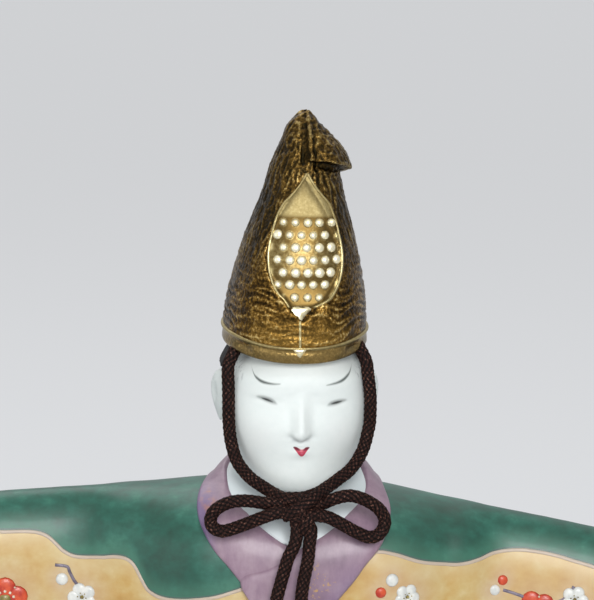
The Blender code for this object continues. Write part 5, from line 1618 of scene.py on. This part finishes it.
slip = Recipe("pale_slip_line", roughness=0.4)
slip_line = slip.done(slip.blend(slip.cloud(400, 3), paint(180, 162, 146), paint(202, 186, 168)))
for side, points, curve, word in (
    (-1, FRONT_BORDER, front_curve, "front"), (1, BACK_BORDER, back_curve, "back"),
):
    spots = [on_robe(x, border_height(curve, points, x), side) for x in np.arange(-91.5, 91.6, 0.5)]
    spots = [spot for spot in spots if spot[0] is not None]
    line = bead(f"border_{word}", [s[0] for s in spots], [s[1] for s in spots], 0.00033, 0.00015, 10)
    dress(line, slip_line, FIGURE, "white_glaze")

# %% [markdown]
# ## The plum blossoms
# Plum blossoms are a traditional pattern. Each is laid on as raised enamel: five round petals, an olive
# centre and a ring of pale dots for the stamens, with buds and thin twigs beside it.

# %% Enamel blossoms
def petals(x, z, size, side, turn):
    """Five broad petals round a centre, on the robe."""
    made = []
    for k in range(5):
        angle = turn + 2 * math.pi * k / 5
        place, normal = on_robe(x + 0.27 * size * math.cos(angle), z + 0.27 * size * math.sin(angle), side)
        if place is not None:
            made.append(dome("petal", place, normal, 0.238 * size * MM, 0.00038, 16, 3))
    return made


def dots_round(x, z, radius, count, dot, side, turn=0.0):
    """A ring of small dots on the robe, standing on the petals."""
    made = []
    for k in range(count):
        angle = turn + 2 * math.pi * k / count
        place, normal = on_robe(x + radius * math.cos(angle), z + radius * math.sin(angle), side)
        if place is not None:
            made.append(dome("dot", place + normal * 0.00034, normal, dot * MM, dot * 0.8 * MM, 8, 2))
    return made


reds, whites, centres, specks_on = [], [], [], []
for side, flowers in ((-1, FRONT_FLOWERS), (1, BACK_FLOWERS)):
    for number, (x, z, size, kind) in enumerate(flowers):
        turn = math.pi / 2 + 0.37 * number
        place, normal = on_robe(x, z, side)
        if place is None:
            print("no robe at", x, z)
        elif kind.endswith("bud"):
            bud = dome("bud", place, normal, size * 0.5 * MM, size * 0.16 * MM, 14, 3)
            (reds if kind == "red_bud" else whites).append(bud)
        else:
            (reds if kind == "red" else whites).extend(petals(x, z, size, side, turn))
            if kind == "red":
                centres.append(dome("centre", place, normal, 0.165 * size * MM, 0.00052, 14, 3))
                specks_on += dots_round(x, z, 0.205 * size, 11, 0.28, side, turn)
                specks_on += dots_round(x, z, 0.36 * size, 5, 0.20, side, turn + math.pi / 5)
            else:
                centres.append(dome("centre", place, normal, 0.07 * size * MM, 0.00060, 10, 3))
                centres += dots_round(x, z, 0.15 * size, 6, 0.13, side, turn)


def enamel(name, dark, light, roughness=0.36):
    """A glassy enamel whose colour pools a little."""
    made = Recipe(name, roughness=roughness)
    made.shader.inputs["Coat Weight"].default_value = 0.1
    return made.done(made.blend(made.cloud(700, 3).step(0.35, 0.65), paint(*dark), paint(*light)))


twigs = []
for points in TWIGS:
    line = smooth_line([(x * MM, 0, z * MM) for x, z in points], 0.0004)
    spots = [facing_point(robe_tree, p.x, p.z) for p in line]
    spots = [spot for spot in spots if spot[0] is not None]
    twigs.append(bead("twig", [s[0] for s in spots], [s[1] for s in spots], 0.00030, 0.00016, 8))
for name, parts, material, slot in (
    ("plum_red", reds, enamel("red_enamel", (176, 44, 26), (210, 82, 44)), "ochre_glaze"),
    ("plum_white", whites, enamel("white_enamel", (206, 208, 204), (226, 226, 220)), "white_glaze"),
    ("plum_centres", centres, enamel("olive_enamel", (112, 96, 44), (160, 146, 78)), "ochre_glaze"),
    ("plum_stamens", specks_on, enamel("pale_enamel", (214, 206, 180), (232, 226, 204)), "white_glaze"),
    ("plum_twigs", twigs, enamel("twig_enamel", (92, 84, 100), (128, 118, 132)), "mauve_glaze"),
):
    dress(joined(name, parts), material, FIGURE, slot)

# %% [markdown]
# ## The collars
# A white under-collar and a mauve over-collar lie one over the other, right side over left. Each panel is
# a strip between two measured edges, from behind the neck down to the chest, pressed down onto the robe.

# %% Collar panels
MAUVE_RIGHT_IN = [
    (0.2, 11.6, 141.6), (4.5, 10.9, 141.5), (8.6, 8.4, 141.3), (11.4, 4.2, 141.0), (12.7, -0.8, 140.0),
    (13.1, -4.5, 138.4), (12.9, -7.8, 136.9), (12.0, -10.6, 135.7), (10.4, -12.8, 134.4), (8.2, -14.6, 132.3),
    (5.6, -15.8, 130.2), (2.5, -16.7, 128.5), (0.0, -17.1, 127.2), (-3.0, -17.6, 125.0), (-6.2, -17.9, 123.8),
    (-9.6, -18.1, 122.7), (-9.2, -18.1, 120.2),
]
MAUVE_RIGHT_OUT = [
    (0.2, 15.9, 137.2), (6.0, 15.1, 137.0), (11.6, 11.7, 136.8), (14.4, 6.1, 136.6), (15.6, 0.5, 136.2),
    (16.3, -4.5, 135.8), (17.2, -8.4, 134.7), (17.6, -11.2, 133.4), (17.2, -13.6, 131.6), (16.3, -15.4, 129.4),
    (15.0, -16.5, 127.2), (13.0, -17.2, 125.0), (11.2, -17.6, 122.2), (8.4, -17.9, 118.8), (5.0, -18.0, 114.5),
    (1.5, -18.0, 110.2), (-0.4, -18.0, 108.0),
]


def mirrored(points):
    """Points on the other side."""
    return [(-x, y, z) for x, y, z in points]


MAUVE_LEFT_IN = mirrored(MAUVE_RIGHT_IN[:4]) + [
    (-13.0, -0.8, 139.6), (-12.7, -4.3, 138.4), (-12.3, -6.8, 137.3), (-11.6, -9.3, 136.0), (-10.3, -11.5, 134.8),
    (-8.6, -13.4, 133.6), (-6.6, -15.0, 131.9), (-4.3, -16.0, 130.2), (-2.0, -16.6, 128.7), (0.4, -17.0, 127.4),
    (2.2, -17.1, 125.4),
]
MAUVE_LEFT_OUT = mirrored(MAUVE_RIGHT_OUT[:4]) + [
    (-16.0, 0.5, 136.4), (-17.0, -4.0, 135.8), (-17.6, -7.4, 134.6), (-17.7, -10.4, 133.0), (-17.2, -12.9, 131.3),
    (-16.3, -14.8, 129.8), (-15.1, -16.0, 127.9), (-13.8, -16.7, 126.2), (-12.5, -17.1, 124.9),
    (-10.8, -17.4, 122.9), (-9.4, -17.6, 121.2),
]
WHITE_RIGHT_IN = [
    (0.2, 8.6, 141.0), (3.6, 8.2, 140.9), (6.6, 6.2, 140.6), (8.9, 3.0, 140.0), (9.6, -1.0, 138.9),
    (8.6, -3.6, 137.8), (7.2, -6.6, 136.9), (4.9, -9.2, 136.0), (2.9, -11.2, 135.2), (1.2, -13.0, 133.8),
    (0.2, -14.7, 131.9), (-0.6, -15.9, 129.9), (-1.5, -16.6, 128.2),
]
WHITE_LEFT_IN = mirrored(WHITE_RIGHT_IN[:4]) + [
    (-9.6, -1.0, 138.8), (-8.6, -3.4, 137.9), (-7.2, -6.2, 137.0), (-4.9, -9.0, 136.1), (-3.2, -11.0, 135.3),
    (-1.6, -12.8, 134.0), (-0.6, -14.5, 132.1), (0.2, -15.7, 130.2), (1.0, -16.5, 128.4),
]
PANEL_ROWS, PANEL_ACROSS = 64, 9


def by_rows(points, count):
    """A smooth curve through points, with the same number of steps between each two."""
    points = [Vector(p) * MM for p in points]
    made = []
    for i in range(count):
        place = i / (count - 1) * (len(points) - 1)
        k = min(int(place), len(points) - 2)
        t = place - k
        a, b, c, d = (points[min(max(k + j, 0), len(points) - 1)] for j in (-1, 0, 1, 2))
        made.append(0.5 * (2 * b + (c - a) * t + (2 * a - 5 * b + 4 * c - d) * t * t + (3 * b - a - 3 * c + d) * t ** 3))
    return made


def panel(name, inner, outer, seat, thickness):
    """A cloth-like clay strip between two edges, seated on the robe, with its face crowned a little."""
    inner, outer = by_rows(inner, PANEL_ROWS), by_rows(outer, PANEL_ROWS)
    grid = []
    for a, b in zip(inner, outer):
        row = []
        for j in range(PANEL_ACROSS):
            spot = a.lerp(b, j / (PANEL_ACROSS - 1))
            near, normal, _, _ = robe_tree.find_nearest(spot)
            height = (spot - near).dot(normal)
            if height < seat:
                spot = spot + normal * (seat - height)
            elif spot.z < 0.1330 and spot.y < -0.010:
                spot = near + normal * seat
            row.append(spot)
        grid.append(row)
    grid = np.array([[list(p) for p in row] for row in grid])
    for _ in range(3):
        middle = grid.copy()
        middle[1:-1] = (grid[:-2] + 2 * grid[1:-1] + grid[2:]) / 4
        grid = middle
    down, across = np.gradient(grid, axis=0), np.gradient(grid, axis=1)
    normals = np.cross(down, across)
    normals /= np.linalg.norm(normals, axis=2, keepdims=True) + 1e-12
    outward = grid * np.array([1, 1, 0]) + np.array([0, 0, 0.008])
    normals *= np.sign((normals * outward).sum(axis=2, keepdims=True))
    share = np.linspace(0, 1, PANEL_ACROSS)
    crown_height = 0.0003 * np.sin(math.pi * share)[None, :, None]
    top = grid + normals * crown_height
    under = grid - normals * thickness
    rings = np.concatenate([top, under[:, ::-1]], axis=1)
    wide = rings.shape[1]
    faces = []
    for i in range(PANEL_ROWS - 1):
        for j in range(wide):
            k = (j + 1) % wide
            faces.append((i * wide + j, i * wide + k, (i + 1) * wide + k, (i + 1) * wide + j))
    faces.append(tuple(range(wide)))
    faces.append(tuple(range((PANEL_ROWS - 1) * wide, PANEL_ROWS * wide)))
    thing = piece_of(name, [tuple(p) for p in rings.reshape(-1, 3)], faces)
    apply(thing, "SUBSURF", levels=1, render_levels=1)
    thing.data.shade_smooth()
    return thing


mauve = Recipe("mauve_glaze", roughness=0.38)
mx, my, mz = (axis * 1000 for axis in mauve.axes())
cloudy = mauve.cloud(150, 4, 0.65)
stroke_lines = mauve.cloud(420, 3, 0.6, stretch=(1.4, 1, 0.35))
veil = mauve.node("ShaderNodeValToRGB", {"_stops": [
    (0.28, paint(122, 96, 116)), (0.5, paint(148, 122, 138)), (0.72, paint(172, 150, 160)),
]}, cloudy * 0.65 + stroke_lines * 0.35)
violet = (mx.step(3, 13) * mz.step(128, 114)).most(mx.step(-13, -16.4) * mz.step(138, 134) * 0.8)
veil = mauve.blend(violet * 0.75, veil, paint(96, 78, 134))
amber = ((mx + 15.6).size() + (mz - 134.6).size()).step(0.6, 2.4, 1, 0)
veil = mauve.blend(amber * 0.75 * cloudy.step(0.40, 0.55), veil, paint(196, 130, 60))
glints = ((mx - 3.7).size() + (mz - 122).size()).step(2.0, 5.0, 1, 0)
fleck = mauve.cloud(1500, 2).step(0.60, 0.66) * glints
veil = mauve.blend(fleck * 0.85, veil, paint(200, 158, 92))
mauve.shader.inputs["Coat Weight"].default_value = 0.15
mauve.shader.inputs["Coat Roughness"].default_value = 0.16
mauve.bump(cloudy * 0.5 + stroke_lines * 0.5, 0.0002, 0.25)
mauve_glaze = mauve.done(veil, 0.38 + cloudy * 0.12)

pale = Recipe("white_collar_glaze", roughness=0.38)
pale_glaze = pale.done(pale.blend(pale.cloud(200, 3), paint(200, 210, 213), paint(222, 228, 229)), 0.40)


def under_edge(inner, outer, count):
    """The white panel's outer edge, 1 mm under the mauve panel's inner edge."""
    made = []
    for a, b in list(zip(inner, outer))[:count]:
        reach = (Vector(b) - Vector(a)).normalized()
        made.append(tuple(Vector(a) + reach * 1.2))
    return made


WHITE_ROWS = len(WHITE_RIGHT_IN)
white_left = panel(
    "white_underlap_left", WHITE_LEFT_IN, under_edge(MAUVE_LEFT_IN, MAUVE_LEFT_OUT, WHITE_ROWS), 0.0003, 0.0011
)
white_right = panel(
    "white_underlap_right", WHITE_RIGHT_IN, under_edge(MAUVE_RIGHT_IN, MAUVE_RIGHT_OUT, WHITE_ROWS), 0.0005, 0.0013
)
mauve_left = panel("mauve_lapel_left", MAUVE_LEFT_IN, MAUVE_LEFT_OUT, 0.0010, 0.0015)
mauve_right = panel("mauve_lapel_right", MAUVE_RIGHT_IN, MAUVE_RIGHT_OUT, 0.0015, 0.0018)
dress(white_left, pale_glaze, FIGURE, "white_glaze", "white_collar_left")
dress(white_right, pale_glaze, FIGURE, "white_glaze", "white_collar_right")
dress(mauve_left, mauve_glaze, FIGURE, "mauve_glaze", "mauve_collar_left")
dress(mauve_right, mauve_glaze, FIGURE, "mauve_glaze", "mauve_collar_right")

# %% [markdown]
# ## The lower casting, the belt, the cork and the felt
# The hakama's pleats are softened like glazed clay. The belt and its knot are painted over the glaze.

# %% Hakama, belt, cork, peg and felt
hakama = refined("hakama", "pleated_hakama", 1, 0.0007, 3)
mark_hollows(hakama)
hem = Recipe("ochre_glaze", roughness=0.25)
hx, hy, hz = (axis * 1000 for axis in hem.axes())
hem_pool = hem.cloud(90, 4, 0.6)
hem_streak = hem.cloud(300, 4, 0.6, stretch=(1, 1, 0.2))
pleat = hem.node("ShaderNodeAttribute", {"attribute_name": "hollow", "_out": "Fac"})
hem_colour = hem.node("ShaderNodeValToRGB", {"_stops": [
    (0.20, paint(184, 142, 74)), (0.44, paint(196, 162, 98)), (0.62, paint(204, 180, 124)), (0.84, paint(214, 196, 150)),
]}, 0.5 + (hem_pool - 0.5) * 0.9 + (hem_streak - 0.5) * 0.8)
# Painted shade darkens the pleats' hollows and a painted highlight lightens their crests
hem_colour = hem.blend(pleat.step(0.1, 1.3) * 0.65, hem_colour, paint(128, 90, 42))
hem_colour = hem.blend(pleat.step(-0.3, -1.4) * 0.35, hem_colour, paint(222, 208, 168))
hem.shader.inputs["Coat Weight"].default_value = 0.18
hem.shader.inputs["Coat Roughness"].default_value = 0.16
hem.bump(hem_streak, 0.0003, 0.2)
dress(hakama, hem.done(hem_colour, 0.38 + hem_streak * 0.14), FIGURE, "ochre_glaze", "hakama")

tie = Recipe("belt_paint", roughness=0.4)
tie_colour = tie.blend(tie.cloud(300, 3), paint(104, 78, 96), paint(132, 104, 120))
belt_paint = tie.done(tie_colour)
for node, name in (("hakama_belt", "waist_belt"), ("belt_knot", "waist_knot")):
    belt_part = copy_of(node, name)
    apply(belt_part, "SUBSURF", levels=1, render_levels=1)
    dress(belt_part, belt_paint, FIGURE, "belt_paint", node)

bark = Recipe("pressed_cork", roughness=0.85)
grain = bark.cloud(900, 4, 0.65)
bark.bump(grain, 0.0003, 0.6)
repaint("neck_sleeve", bark.done(bark.blend(grain.step(0.38, 0.62), paint(128, 92, 58), paint(186, 148, 104))))
beech = Recipe("turned_beech", roughness=0.55)
rings = beech.cloud(700, 3, 0.5, stretch=(1, 1, 0.08))
repaint("neck_peg", beech.done(beech.blend(rings, paint(196, 158, 112), paint(224, 192, 148))))

felt_piece = refined("base_felt", "felt_underlay", 0, 0.0006, 2)
wool = Recipe("green_wool_felt", roughness=0.95)
fibre = wool.cloud(2400, 4, 0.7)
wool.bump(fibre, 0.0003, 0.7)
wool.shader.inputs["Sheen Weight"].default_value = 0.3
dress(felt_piece, wool.done(wool.blend(fibre, paint(30, 58, 44), paint(52, 86, 66))), FIGURE, "green_felt", "base_felt")
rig.sheet(felt_piece, flat=(0.074, 0.0424), held="laid", rests_on=["hakama"])

# %% Sizes and the end
visual_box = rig.bounds()
with open("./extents.json", "w") as sizes:
    json.dump({
        "cad": [list(corner) for corner in cad_box],
        "visual": [list(corner) for corner in visual_box],
    }, sizes)
